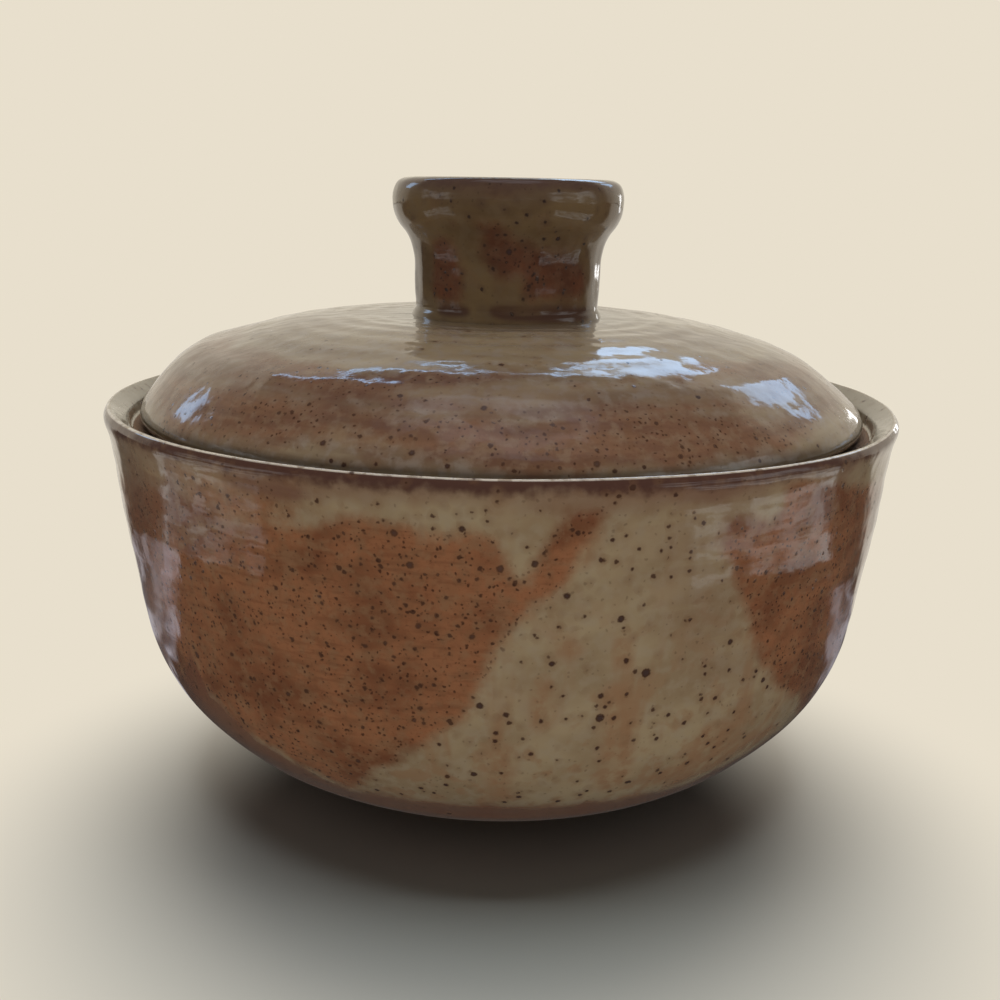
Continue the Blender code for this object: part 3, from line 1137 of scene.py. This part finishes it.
@dataclass
class TurnedPiece:
    """A piece thrown on the wheel: one outline turned about the upright axis.

    Its scale is the millimetres on its surface for a degree round it, and pixel the width there of
    one pixel of the photograph's frame. A large iron spot is pixels across, down and wide. The crest
    of its lip lies a little past a station, and bare clay on stretches. Sizes are in millimetres.
    """

    name: str
    node: str
    body: str
    slot: str
    stations: tuple[Station, ...]
    rings: tuple[Rings, ...] = ()
    turn_steps: int = 320
    longest_step: float = 1.3
    closed: bool = False
    uneven: float = 0.5
    cloud_width: float = 11.0
    bare: tuple[tuple[float, ...], ...] = ()
    crest: tuple[int, float] | None = None
    scale: float = 1.71
    pixel: float = 0.090
    smooth_from: int = 36
    iron_spots: tuple[tuple[int, int, float], ...] = ()
    camera: PhotoCamera = PhotoCamera()
    smooth_angle = 40.0
    weld, close = 1e-5, 1e-6
    weight_levels = 200.0
    corner_cut = 0.25
    tiny = 1e-9
    unpainted = -60.0

    def build(self) -> bpy.types.Object:
        """Draw the outline, turn it and let the clay sag.

        Returns:
            The finished mesh object.
        """
        self.outline = Outline(self.stations, self.rings)
        self.spin(self.outline.thinned(self.longest_step))
        self.places = self.read_places()
        self.along = self.outline.nearest(self.rounded_places(self.places))
        self.settle()
        self.places = self.read_places()
        return self.piece

    def spin(self, points: np.ndarray) -> None:
        """Draw the outline point by point and turn it once round.

        Args:
            points: reach and height of each point, in millimetres.
        """
        clear_selection()
        first = points[0] * MM
        bpy.ops.mesh.primitive_plane_add(size=0.01, location=(first[0], 0.0, first[1]))
        self.piece = bpy.context.object
        self.piece.name = self.piece.data.name = self.name
        bpy.ops.object.mode_set(mode="EDIT")
        bpy.ops.mesh.merge(type="CENTER")
        for step in np.diff(points, axis=0) * MM:
            bpy.ops.mesh.extrude_vertices_move(TRANSFORM_OT_translate={"value": (step[0], 0.0, step[1])})
        bpy.ops.mesh.select_all(action="SELECT")
        if self.closed:
            bpy.ops.mesh.remove_doubles(threshold=self.close)
        bpy.ops.mesh.spin(steps=self.turn_steps, angle=2 * math.pi, center=(0.0, 0.0, 0.0), axis=(0.0, 0.0, 1.0))
        bpy.ops.mesh.select_all(action="SELECT")
        bpy.ops.mesh.remove_doubles(threshold=self.weld)
        bpy.ops.mesh.normals_make_consistent(inside=False)
        bpy.ops.object.mode_set(mode="OBJECT")
        bpy.ops.object.transform_apply(location=True, rotation=True, scale=True)
        bpy.ops.object.shade_smooth_by_angle(angle=math.radians(self.smooth_angle))

    def read_places(self) -> np.ndarray:
        """Read the places of all mesh points.

        Returns:
            One place for each point, in millimetres.
        """
        flat = np.empty(len(self.piece.data.vertices) * 3)
        self.piece.data.vertices.foreach_get("co", flat)
        return flat.reshape(-1, 3) / MM

    @staticmethod
    def rounded_places(places: np.ndarray) -> np.ndarray:
        """Return how far from the axis and how high places lie."""
        return np.stack((np.hypot(places[:, 0], places[:, 1]), places[:, 2]), axis=1)

    @staticmethod
    def turned_by(places: np.ndarray) -> np.ndarray:
        """Return how far round the piece places lie, in degrees to the right of the front."""
        return np.degrees(np.arctan2(places[:, 0], -places[:, 1]))

    def swell(self, name: str, way: Push, amount: float, weights: np.ndarray, clouds: float = 0.0) -> None:
        """Move the clay softly by painted weights.

        Args:
            name: the swelling's name.
            way: outward or upward.
            amount: the greatest move, in millimetres.
            weights: how much each point moves, from 0 to 1.
            clouds: the size of soft uneven clouds that the move follows, in millimetres, 0 for none.
        """
        take(self.piece)
        group = self.piece.vertex_groups.new(name=name)
        levels = np.round(np.clip(weights, 0.0, 1.0) * self.weight_levels).astype(int)
        for level in np.unique(levels[levels > 0]):
            group.add(np.nonzero(levels == level)[0].tolist(), float(level) / self.weight_levels, "REPLACE")
        bpy.ops.object.modifier_add(type="DISPLACE")
        swelling = self.piece.modifiers[-1]
        swelling.name = name
        swelling.direction = way.value
        swelling.vertex_group = name
        swelling.strength = amount * MM
        swelling.mid_level = 0.0
        if clouds:
            texture = bpy.data.textures.new(name, "CLOUDS")
            texture.noise_scale = clouds * MM
            texture.noise_depth = 1
            swelling.texture = texture
            swelling.texture_coords = "LOCAL"
            swelling.mid_level = 0.5
        bpy.ops.object.modifier_apply(modifier=name)
        self.piece.vertex_groups.remove(self.piece.vertex_groups[name])

    def stretch(self, first: int, last: int, soft: float, before: float = 0.0, after: float = 0.0) -> np.ndarray:
        """Return 1 between two stations, each moved along by a length, falling to 0 over a soft width."""
        return soft_window(self.along, self.outline.where(first) + before, self.outline.where(last) + after, soft)

    def settle(self) -> None:
        """Let the clay sag; a plain piece stays as it was turned."""

    def keep(self, name: str, values: np.ndarray) -> None:
        """Keep one number for each mesh point, in an attribute that the glaze reads."""
        layer = self.piece.data.attributes.new(name=name, type="FLOAT", domain="POINT")
        layer.data.foreach_set("value", np.ascontiguousarray(values, dtype=np.float32))

    def touched(self, *spot: float) -> Vector | None:
        """Return the place on the piece, in millimetres, that is seen at a spot of the photograph, if any."""
        found, place, _, _ = self.piece.ray_cast(*self.camera.sight(*spot))
        return place / MM if found else None

    def unrolled(self, patch: Patch) -> np.ndarray:
        """Unroll a patch's outline.

        Args:
            patch: the patch.

        Returns:
            Degrees round the piece and millimetres along the outline for each corner.
        """
        touched = [self.touched(*spot) for spot in patch.seen]
        hits = np.array([tuple(place) for place in touched if place is not None]).reshape(-1, 3)
        corners = [np.empty((0, 2))]
        if len(hits):
            corners.append(np.stack((self.turned_by(hits), self.outline.nearest(self.rounded_places(hits))), axis=1))
        if patch.round_piece:
            corners.append(np.array(patch.round_piece, dtype=float))
        return np.vstack(corners)

    def inside_by(self, patch: Patch) -> np.ndarray:
        """Return how far every point lies inside a patch, whose corners are cut until it is smooth.

        Args:
            patch: the patch.

        Returns:
            The distance to the patch's outline in millimetres, negative outside.
        """
        corners = self.unrolled(patch)
        near, far = 1.0 - self.corner_cut, self.corner_cut
        while len(corners) < self.smooth_from:
            after = np.roll(corners, -1, axis=0)
            corners = np.stack((near * corners + far * after, far * corners + near * after), axis=1).reshape(-1, 2)
        middle = corners[:, 0].mean()
        turned = (self.turned_by(self.places) - middle + 180.0) % 360.0 - 180.0
        spots = np.stack((turned * self.scale, self.along), axis=1)
        loop = np.stack(((corners[:, 0] - middle) * self.scale, corners[:, 1]), axis=1)
        nearest = np.full(len(spots), np.inf)
        crossings = np.zeros(len(spots), dtype=int)
        for start, end in zip(loop, np.roll(loop, -1, axis=0)):
            edge = end - start
            share = np.clip(((spots - start) @ edge) / max(edge @ edge, self.tiny), 0.0, 1.0)
            nearest = np.minimum(nearest, np.linalg.norm(spots - start - share[:, None] * edge, axis=1))
            rises = (start[1] > spots[:, 1]) != (end[1] > spots[:, 1])
            climb = edge[1] if abs(edge[1]) > self.tiny else self.tiny
            crossings += rises & (spots[:, 0] < start[0] + (spots[:, 1] - start[1]) * edge[0] / climb)
        return np.where(crossings % 2 == 1, nearest, -nearest)

    def paint(self, *patches: Patch) -> None:
        """Keep how far points lie in the nearest of several rust patches, as a share of its soft edge."""
        inside = [self.inside_by(patch) / patch.soft for patch in patches]
        self.keep("rust", np.maximum.reduce(inside).clip(self.unpainted))

    def tint(self, name: str, patches: tuple[Patch, ...]) -> None:
        """Keep soft tints, each with its own strength, in an attribute that the glaze reads."""
        shades = [patch.strength * soft_step(self.inside_by(patch) / (2.0 * patch.soft)) for patch in patches]
        self.keep(name, np.maximum.reduce(shades))

    def find_spots(self) -> tuple[Spot, ...]:
        """Return the place and the radius of the large iron spots, in millimetres."""
        touched = ((self.touched(across, down), wide) for across, down, wide in self.iron_spots)
        return tuple((place, wide * self.pixel) for place, wide in touched if place is not None)

    def waves(self, *waves: tuple[float, float, float]) -> np.ndarray:
        """Return the sum of waves round the piece, each a height, a number of turns and a phase."""
        turned = np.radians(self.turned_by(self.places))
        return sum(height * np.sin(turns * turned + phase) for height, turns, phase in waves)

    def lay(self) -> None:
        """Keep the numbers by which the glaze lies on the piece; a plain piece has none."""

    def dress(self, effects: Effects, glaze: Glaze) -> None:
        """Lay the glaze, fire the piece and put it in the place of its CAD node.

        Args:
            effects: the shared effects.
            glaze: the piece's glaze.
        """
        self.lay()
        if self.crest:
            station, over = self.crest
            self.keep("lip", self.along - self.outline.where(station) - over)
        if self.bare:
            self.keep("bare", np.maximum.reduce([self.stretch(*row) for row in self.bare]))
        material = glaze.fire(effects, self.find_spots())
        for name, value in UNLAID.items():
            if name not in self.piece.data.attributes:
                self.keep(name, np.full(len(self.places), value))
        Studio.lit_pieces().objects.link(self.piece)
        self.piece.data.materials.clear()
        self.piece.data.materials.append(material)
        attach(self.piece, self.body)
        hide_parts(self.node)
        log.info("%s: %d faces", self.name, len(self.piece.data.polygons))


# The three pieces

@dataclass
class Bowl(TurnedPiece):
    """The deep bowl: a bevelled rim, a gallery for the lid and a turned foot."""

    name: str = "bowl_glazed"
    node: str = "bowl"
    body: str = "bowl"
    slot: str = "bowl_glaze"
    turn_steps: int = 296
    stations: tuple[Station, ...] = drawn_through(
        (0.0, 10.3), (9.0, 10.05), (29.7, 10.0), (44.0, 10.2), (58.7, 11.4), (69.6, 15.2), (77.2, 21.5), (84.9, 30.3),
        (90.1, 41.8), (93.1, 59.4), (96.2, 79.0), (95.2, 83.4), (91.0, 88.6), (88.4, 90.9), (87.5, 92.5),
        (88.1, 94.0), (89.6, 94.5), (98.7, 94.5, 1.3), (99.3, 97.7, 0.9), (103.8, 100.9, 1.1), (104.9, 98.9),
        (104.0, 94.5), (103.2, 89.5), (102.1, 79.2), (100.7, 68.8), (99.1, 58.5), (97.8, 49.2), (95.9, 40.1),
        (93.4, 33.4), (90.0, 27.1), (86.0, 21.9), (81.4, 17.2), (77.2, 13.3), (72.5, 10.0), (60.3, 5.1),
        (49.6, 3.6, 1.2), (49.0, 0.0, 1.0), (44.0, 0.0, 1.0), (43.4, 3.5, 0.8), (22.0, 3.6), (0.0, 3.5),
    )
    rings: tuple[Rings, ...] = (
        Rings(3, 10, 0.22, 6.4), Rings(21, 33, 0.05, 7.6), Rings(33, 35, 0.07, 1.7), Rings(38, 40, 0.06, 2.0))
    front_rust: Patch = Patch(seen=(
        (178, 545), (190, 530), (215, 527), (260, 522), (302, 526), (330, 521), (361, 520), (399, 523), (408, 528),
        (423, 535), (438, 540), (449, 537), (459, 532), (466, 531), (483, 535), (494, 542), (501, 554), (506, 570),
        (513, 582), (526, 583), (537, 570), (544, 549), (554, 532), (566, 514), (573, 508), (592, 506), (604, 508),
        (600, 520), (594, 535), (582, 554), (575, 570), (563, 583), (550, 600), (533, 611), (520, 620), (507, 628),
        (499, 644), (496, 652), (487, 662), (482, 682), (476, 697), (471, 711), (459, 724), (443, 733), (423, 745),
        (406, 753), (398, 763), (373, 770), (363, 781), (348, 788), (317, 773), (286, 756), (262, 740), (239, 728),
        (226, 709), (214, 695), (204, 687), (198, 673), (193, 649), (188, 620), (182, 590)))
    left_fade: Patch = Patch(seen=(
        (150, 560), (160, 540), (200, 532), (240, 560), (250, 640), (240, 716), (212, 694), (186, 650), (162, 610)),
        soft=4.5)
    left_wall: Patch = Patch(seen=(
        (300, 474), (296, 500), (276, 526), (215, 534), (190, 560), (194, 620), (206, 680), (214, 695)),
        round_piece=((-78.0, 286.0), (-96.0, 272.0), (-108.0, 248.0), (-101.0, 222.0), (-93.0, 200.0), (-62.0, 196.0)),
        soft=4.0)
    right_rust: Patch = Patch(seen=(
        (722, 529), (735, 513), (752, 520), (775, 518), (786, 500), (790, 474)),
        round_piece=((58.0, 193.0), (92.0, 195.0), (108.0, 219.0), (116.0, 246.0), (104.0, 268.0), (86.0, 283.0),
                     (70.0, 287.0)))
    right_rust_edge: Patch = Patch(seen=(
        (801, 693), (792, 698), (779, 687), (770, 676), (760, 661), (754, 645), (750, 626), (746, 610), (739, 594),
        (735, 578), (727, 560), (720, 542)))
    back_rust: tuple[Patch, ...] = (
        Patch(round_piece=((-172.0, 218.0), (-160.0, 232.0), (-149.0, 214.0), (-120.0, 224.0), (-104.0, 240.0),
                           (-108.0, 262.0), (-124.0, 276.0), (-150.0, 292.0), (-168.0, 281.0), (-176.0, 262.0),
                           (-186.0, 250.0), (-192.0, 231.0), (-184.0, 222.0))),
        Patch(round_piece=((134.0, 221.0), (146.0, 214.0), (153.0, 226.0), (150.0, 247.0), (143.0, 262.0),
                           (136.0, 246.0), (131.0, 233.0))),
        Patch(round_piece=((40.0, 62.0), (75.0, 70.0), (110.0, 88.0), (120.0, 116.0), (84.0, 121.0), (50.0, 112.0),
                           (22.0, 92.0), (24.0, 74.0))),
        Patch(round_piece=((-150.0, 58.0), (-110.0, 66.0), (-92.0, 92.0), (-104.0, 119.0), (-142.0, 121.0),
                           (-176.0, 108.0), (-170.0, 76.0))),
    )
    blushes: tuple[Patch, ...] = (
        Patch(seen=((216, 474), (250, 477), (282, 483), (303, 489), (307, 499), (290, 500), (262, 494), (232, 488)),
              strength=0.85, soft=1.2),
        Patch(seen=((560, 482), (620, 481), (690, 479), (752, 474), (778, 473), (770, 484), (742, 494), (716, 505),
                    (690, 503), (660, 499), (620, 494), (580, 493)), strength=0.62, soft=2.2),
        Patch(seen=((114, 444), (150, 462), (180, 471), (172, 500), (178, 530), (158, 552), (144, 528), (126, 482)),
              strength=0.45, soft=2.5),
        Patch(round_piece=((150.0, 201.0), (185.0, 200.0), (215.0, 202.0), (205.0, 209.0), (170.0, 210.0)),
              strength=0.35, soft=3.0),
        Patch(seen=((600, 496), (690, 500), (722, 540), (748, 620), (756, 700), (716, 722), (684, 650), (640, 560)),
              strength=0.24, soft=8.0),
    )
    tan_runs: tuple[Patch, ...] = tuple(Patch(seen=seen, soft=1.6) for seen in (
        ((556, 634), (582, 640), (580, 660), (556, 660)),
        ((530, 684), (556, 680), (556, 724), (540, 735), (528, 720)),
        ((487, 742), (512, 738), (516, 800), (486, 802)),
        ((600, 684), (634, 680), (634, 740), (628, 788), (592, 792), (598, 760), (604, 720)),
        ((614, 636), (632, 636), (630, 670), (614, 672)),
        ((698, 724), (740, 716), (742, 752), (706, 772), (650, 788), (648, 776), (690, 756)),
        ((586, 520), (600, 524), (596, 560), (580, 572)),
    ))
    base_line: Patch = Patch(seen=(
        (192, 650), (204, 687), (226, 709), (256, 738), (286, 757), (317, 775), (350, 790), (400, 797), (450, 803),
        (500, 806), (560, 805), (620, 799), (680, 786), (730, 768), (770, 742), (800, 712)))
    back_base: float = 278.0
    base_fall: float = 25.0
    crest: tuple[int, float] = (19, 0.6)
    bare: tuple[tuple[float, ...], ...] = ((14, 17, 1.6), (36, 37, 1.2, -1.0, 1.0))
    uneven: float = 0.55
    cloud_width: float = 34.0
    still: tuple[tuple[int, int, float], ...] = ((13, 19, 5.0), (35, 40, 8.0))
    rim: tuple[float, float, float] = (99.0, 130.0, 6.0)
    sags: tuple[tuple[str, float, float, float], ...] = (
        ("rim_sag", -0.75, 52.0, 20.0),
        ("rim_dip", -0.4, -118.0, 30.0),
    )
    iron_spots: tuple[tuple[int, int, float], ...] = (
        (567, 596, 8), (621, 619, 9), (646, 673, 12), (601, 696, 7), (600, 718, 11), (626, 661, 7), (730, 642, 8),
        (668, 715, 6), (684, 723, 6), (715, 698, 6), (705, 666, 5), (705, 674, 5), (763, 680, 7), (756, 671, 6),
        (767, 687, 5), (729, 670, 5), (627, 694, 5), (605, 707, 5), (614, 718, 6), (656, 739, 6), (654, 735, 4),
        (634, 740, 5), (597, 748, 6), (599, 761, 5), (714, 747, 6), (708, 743, 6), (703, 736, 5), (687, 763, 6),
        (660, 773, 5), (628, 782, 8), (587, 791, 5), (580, 795, 6), (734, 712, 5), (728, 730, 5), (685, 754, 4),
        (566, 719, 4), (563, 696, 4), (690, 620, 5), (585, 616, 4), (558, 627, 4), (624, 628, 4), (613, 540, 5),
        (626, 536, 4), (639, 549, 5), (661, 551, 4), (671, 547, 4), (601, 560, 5), (632, 569, 4), (671, 577, 4),
        (644, 605, 4), (615, 503, 4), (676, 495, 5), (535, 564, 8), (527, 547, 4), (544, 553, 4), (524, 582, 4),
        (509, 579, 4), (500, 569, 9), (462, 529, 7), (498, 491, 4), (472, 637, 7), (446, 598, 5), (418, 626, 7),
        (394, 533, 8), (365, 646, 6), (350, 626, 4), (372, 618, 5), (385, 611, 4), (361, 564, 4), (410, 565, 9),
        (357, 593, 4), (415, 649, 5), (394, 657, 5), (385, 643, 5), (322, 603, 5), (438, 575, 4), (477, 579, 5),
        (459, 581, 5), (394, 584, 5), (197, 655, 10), (480, 706, 9), (506, 715, 7), (496, 733, 6), (495, 741, 6),
        (541, 721, 6), (531, 754, 6), (474, 774, 8), (501, 773, 5), (446, 785, 6), (421, 788, 6), (434, 793, 5),
        (377, 790, 6), (519, 797, 7), (558, 801, 7), (552, 664, 7), (521, 662, 4), (551, 687, 4), (523, 739, 4),
        (420, 708, 6), (414, 720, 6), (424, 723, 5), (439, 744, 5), (319, 722, 6), (358, 761, 7), (288, 694, 7),
    )

    def settle(self) -> None:
        """Make the wall uneven and let the rim sag a little at the front right and the back left."""
        free = 1.0
        for row in self.still:
            free = free * (1.0 - self.stretch(*row))
        self.swell("hand_unevenness", Push.OUTWARD, self.uneven, free, self.cloud_width)
        turned = self.turned_by(self.places)
        rim = soft_window(self.places[:, 2], *self.rim)
        for name, amount, middle, width in self.sags:
            self.swell(name, Push.UPWARD, amount, rim * np.exp(-((turned - middle) / width) ** 2))

    def lay(self) -> None:
        """Lay the rust patches, the tints and the dark base."""
        corners = np.vstack((self.unrolled(self.right_rust), self.unrolled(self.right_rust_edge)))
        right = Patch(round_piece=tuple(map(tuple, corners)))
        self.paint(self.front_rust, self.left_fade, self.left_wall, right, *self.back_rust)
        self.tint("tint", self.blushes)
        self.tint("runs", self.tan_runs)
        line = self.unrolled(self.base_line)
        turned, along = line[np.argsort(line[:, 0])].T
        around = (-180.0, turned[0] - self.base_fall, *turned, turned[-1] + self.base_fall, 180.0)
        level = (self.back_base, self.back_base, *along, self.back_base, self.back_base)
        self.keep("base", self.along - np.interp(self.turned_by(self.places), around, level))


@dataclass
class Lid(TurnedPiece):
    """The domed lid, which sits in the bowl's gallery."""

    name: str = "lid_glazed"
    node: str = "lid"
    body: str = "lid"
    slot: str = "lid_glaze"
    stations: tuple[Station, ...] = drawn_through(
        (0.0, 122.0), (18.0, 122.0), (30.7, 122.0), (43.8, 121.8), (54.3, 120.6), (64.8, 118.5), (73.3, 116.0),
        (80.8, 112.8), (87.0, 108.5), (91.8, 104.2), (95.5, 99.8), (96.15, 97.7), (95.2, 95.8), (93.2, 94.85),
        (89.0, 94.85, 0.8), (88.3, 96.5), (87.8, 99.8), (83.3, 103.8), (77.9, 107.5), (71.3, 110.4), (63.3, 112.6),
        (53.3, 114.7), (43.5, 115.8), (30.6, 116.0), (0.0, 116.0),
    )
    rings: tuple[Rings, ...] = (Rings(2, 9, 0.11, 7.4), Rings(16, 24, 0.20, 6.0))
    edge: int = 11
    dome: tuple[float, ...] = (2, 9, 14.0, 4.0)
    uneven: float = 0.75
    cloud_width: float = 26.0
    left_shoulder, right_shoulder, left_brow = 0.5, -0.9, 1.9
    shoulder_start, shoulder_rise, shoulder_side = 28.0, 30.0, 75.0
    brow_reach, brow_width, brow_side = 85.0, 9.0, 88.0
    # How the bands wander and swell on their way round; their half widths, where they lie inward of
    # the edge and how they follow the wandering; and the pool's depth, stretch, angle and place
    drift_waves = ((1.8, 3.0, 0.4), (1.3, 8.0, 2.0), (0.8, 19.0, 0.0))
    width_waves = ((0.6, 2.0, 1.1), (0.5, 5.0, 0.3))
    band, crown, thread = (3.8, 10.5, 1.0), (4.2, 27.0, -1.5), (1.0, 18.5, 0.7)
    widest = 1.9
    pool = (6.5, 0.22, 44.0, 8.0)
    tinted, tint_share = (16.0, 25.0, 8.0), 0.35
    bare: tuple[tuple[float, ...], ...] = ((12, 15, 1.4, 1.0),)
    iron_spots: tuple[tuple[int, int, float], ...] = (
        (323, 443, 8), (391, 438, 5), (411, 436, 5), (412, 453, 7), (344, 465, 6), (331, 461, 5), (376, 464, 5),
        (447, 466, 6), (597, 464, 8), (547, 454, 4), (560, 468, 4), (538, 467, 4), (615, 471, 5), (644, 467, 5),
        (690, 462, 4), (738, 453, 4), (760, 461, 5), (597, 450, 4), (400, 396, 7), (279, 413, 6), (484, 408, 8),
        (756, 438, 6), (818, 446, 5), (678, 327, 6),
    )

    def settle(self) -> None:
        """Raise the left shoulder, lower the right one and make the dome uneven."""
        right = self.places[:, 0]
        reach = np.hypot(right, self.places[:, 1])
        dome = self.stretch(*self.dome)
        self.swell("dome_unevenness", Push.OUTWARD, self.uneven, dome, self.cloud_width)
        outside = np.clip((reach - self.shoulder_start) / self.shoulder_rise, 0.0, 1.0)
        side = np.clip(right / self.shoulder_side, -1.0, 1.0) * outside
        self.swell("left_shoulder", Push.UPWARD, self.left_shoulder, dome * np.clip(-side, 0.0, 1.0))
        top = self.along < self.outline.where(self.edge)
        ring = np.exp(-((reach - self.brow_reach) / self.brow_width) ** 2)
        brow = ring * np.clip(-right / self.brow_side, 0.0, 1.0) ** 2
        self.swell("left_brow", Push.UPWARD, self.left_brow, brow * top)
        self.swell("right_shoulder", Push.UPWARD, self.right_shoulder, dome * np.clip(side, 0.0, 1.0))

    def lay(self) -> None:
        """Lay the wandering bands, a pool at the front left and the tint."""
        inward = self.outline.where(self.edge) - self.along
        drift, width = self.waves(*self.drift_waves), 1.0 + self.waves(*self.width_waves)
        bands = ((width, self.band), (self.widest - width, self.crown), (1.0, self.thread))
        rust = [wide * half - np.abs(inward - middle + follows * drift) for wide, (half, middle, follows) in bands]
        deep, stretched, turned, middle = self.pool
        rust.append(deep - np.hypot(stretched * (self.turned_by(self.places) + turned), inward - middle + drift))
        self.keep("rust", np.maximum.reduce(rust))
        self.keep("tint", soft_window(inward - drift, *self.tinted) * self.tint_share)


@dataclass
class Knob(TurnedPiece):
    """The hollow knob with a rolled lip, joined to the lid by a thin bead of clay."""

    name: str = "knob_glazed"
    node: str = "knob"
    body: str = "lid"
    slot: str = "knob_glaze"
    stations: tuple[Station, ...] = drawn_through(
        (19.4, 121.6, 0.6), (19.5, 130.0), (19.6, 139.0), (21.0, 147.0), (23.4, 154.6), (24.8, 156.9), (26.9, 157.65),
        (29.3, 156.7), (30.55, 154.0), (30.6, 151.0), (30.2, 148.4), (29.1, 146.0), (27.3, 143.6), (26.0, 141.2),
        (25.2, 138.2), (24.8, 131.0), (24.6, 126.0), (24.6, 124.1, 0.5), (25.1, 123.5), (25.4, 122.6),
        (25.9, 121.6, 0.5), (19.4, 121.6),
    )
    turn_steps: int = 192
    longest_step: float = 0.8
    closed: bool = True
    scale: float = 0.454
    off_centre: float = 0.85
    crest: tuple[int, float] = (7, -1.4)
    inner_lip: int = 8
    neck: tuple[float, float, float] = (126.0, 142.0, 5.0)
    loose: tuple[float, float, float] = (128.0, 156.0, 6.0)
    ridge: float = 0.28
    ridge_waves = ((0.25, 9.0, 0.6), (0.25, 23.0, 1.7))
    iron_spots: tuple[tuple[int, int, float], ...] = (
        (454, 188, 4), (544, 201, 5), (559, 191, 4), (469, 217, 5), (517, 223, 5), (545, 222, 4), (505, 235, 5),
        (522, 241, 5), (544, 239, 5), (558, 239, 7), (584, 244, 5), (509, 252, 9), (534, 274, 5), (528, 290, 4),
        (530, 296, 4), (563, 293, 4), (558, 308, 4),
    )
    rust_patches: tuple[Patch, ...] = (
        Patch(seen=((474, 219), (496, 226), (513, 238), (530, 246), (562, 256), (587, 266), (585, 298), (546, 302),
                    (521, 296), (521, 278), (506, 280), (496, 271), (486, 264), (483, 240))),
        Patch(seen=((434, 236), (451, 241), (463, 273), (463, 303), (436, 303), (432, 264))),
        Patch(seen=((455, 183), (529, 183), (529, 193), (500, 194), (470, 190))),
        Patch(round_piece=((100.0, 48.0), (150.0, 56.0), (190.0, 50.0), (215.0, 64.0), (180.0, 74.0), (120.0, 72.0))),
    )
    dark_bands: tuple[Patch, ...] = (
        Patch(seen=((436, 304), (468, 304), (470, 318), (438, 318)), strength=0.8, soft=1.0),
        Patch(seen=((486, 305), (536, 304), (592, 306), (594, 321), (536, 323), (492, 319)), strength=0.8, soft=1.0),
        Patch(round_piece=((90.0, 72.0), (170.0, 71.0), (250.0, 72.0), (250.0, 76.0), (90.0, 76.0)),
              strength=0.7, soft=1.2),
    )

    def settle(self) -> None:
        """Make the knob a little lumpy, with upright ridges where fingers drew it up."""
        neck = soft_window(self.places[:, 2], *self.neck) * (self.along > self.outline.where(self.inner_lip))
        ridges = 0.5 + self.waves(*self.ridge_waves)
        self.swell("finger_ridges", Push.OUTWARD, self.ridge, neck * ridges)
        loose = soft_window(self.places[:, 2], *self.loose)
        self.swell("knob_unevenness", Push.OUTWARD, self.uneven, loose, self.cloud_width)
        take(self.piece)
        bpy.ops.object.mode_set(mode="EDIT")
        bpy.ops.mesh.select_all(action="SELECT")
        bpy.ops.transform.translate(value=(self.off_centre * MM, 0.0, 0.0))
        bpy.ops.object.mode_set(mode="OBJECT")

    def lay(self) -> None:
        """Lay the rust patches and the dark bands."""
        self.paint(*self.rust_patches)
        self.tint("tint", self.dark_bands)


class Casserole:
    """The whole dish in its studio."""

    def __init__(self) -> None:
        """Name the studio, the pieces and their glazes."""
        self.studio = Studio()
        self.pieces = (
            (Bowl(), Glaze("speckled_bowl_glaze")),
            (Lid(), Glaze("speckled_lid_glaze", pale=(0.200, 0.150, 0.092), pale_deep=(0.118, 0.078, 0.048),
                          pale_grey=(0.196, 0.164, 0.138), rust=(0.150, 0.076, 0.042), rust_deep=(0.094, 0.045, 0.027),
                          rust_faded=(0.172, 0.112, 0.070), streaks=0.30, speckle=0.7, banding=0.75,
                          crest_wear_and_highlight_share=0.0, edge_soft=3.0, edge_ragged=2.6, ripple=1.3, lip=(0.09, 0.06, 0.045))),
            # The knob's glaze colours are darkened well below the bowl's glaze: painted shade over the whole knob.
            (Knob(), Glaze("knob_glaze_painted_shade", pale=(0.098, 0.062, 0.029), pale_deep=(0.064, 0.038, 0.018),
                           pale_grey=(0.090, 0.060, 0.034), run=(0.088, 0.042, 0.020), rust=(0.082, 0.031, 0.015),
                           rust_deep=(0.050, 0.019, 0.010), rust_faded=(0.082, 0.039, 0.021),
                           stain=(0.050, 0.026, 0.016), blush=(0.036, 0.014, 0.010),
                           lip=(0.055, 0.030, 0.022), lip_band=(0.070, 0.044, 0.028),
                           iron=(0.018, 0.010, 0.007), iron_pool=(0.020, 0.012, 0.016), edge_soft=2.6,
                           edge_ragged=1.8, speckle=0.7, crest_wear_and_highlight_share=0.4, crest=(0.26, 0.22, 0.16),
                           bevel=(0.060, 0.040, 0.026))),
        )

    def build(self) -> None:
        """Build the studio, then each piece, and dress it."""
        PhotoCamera().place()
        self.studio.build()
        effects = Effects()
        for piece, glaze in self.pieces:
            piece.build()
            piece.dress(effects, glaze)


def clear_startup_scene() -> None:
    """Remove the objects that Blender starts with, which belong to no CAD node."""
    known = {id(item) for item in (*frame["nodes"].values(), *frame["bodies"].values())}
    for thing in list(bpy.data.objects):
        if id(thing) not in known and thing.name in ("Cube", "Camera", "Light"):
            bpy.data.objects.remove(thing, do_unlink=True)


def main() -> None:
    """Build the casserole dish."""
    logging.basicConfig(level=logging.INFO, format="%(message)s")
    clear_startup_scene()
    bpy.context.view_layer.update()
    Casserole().build()


if __name__ == "__main__":
    main()
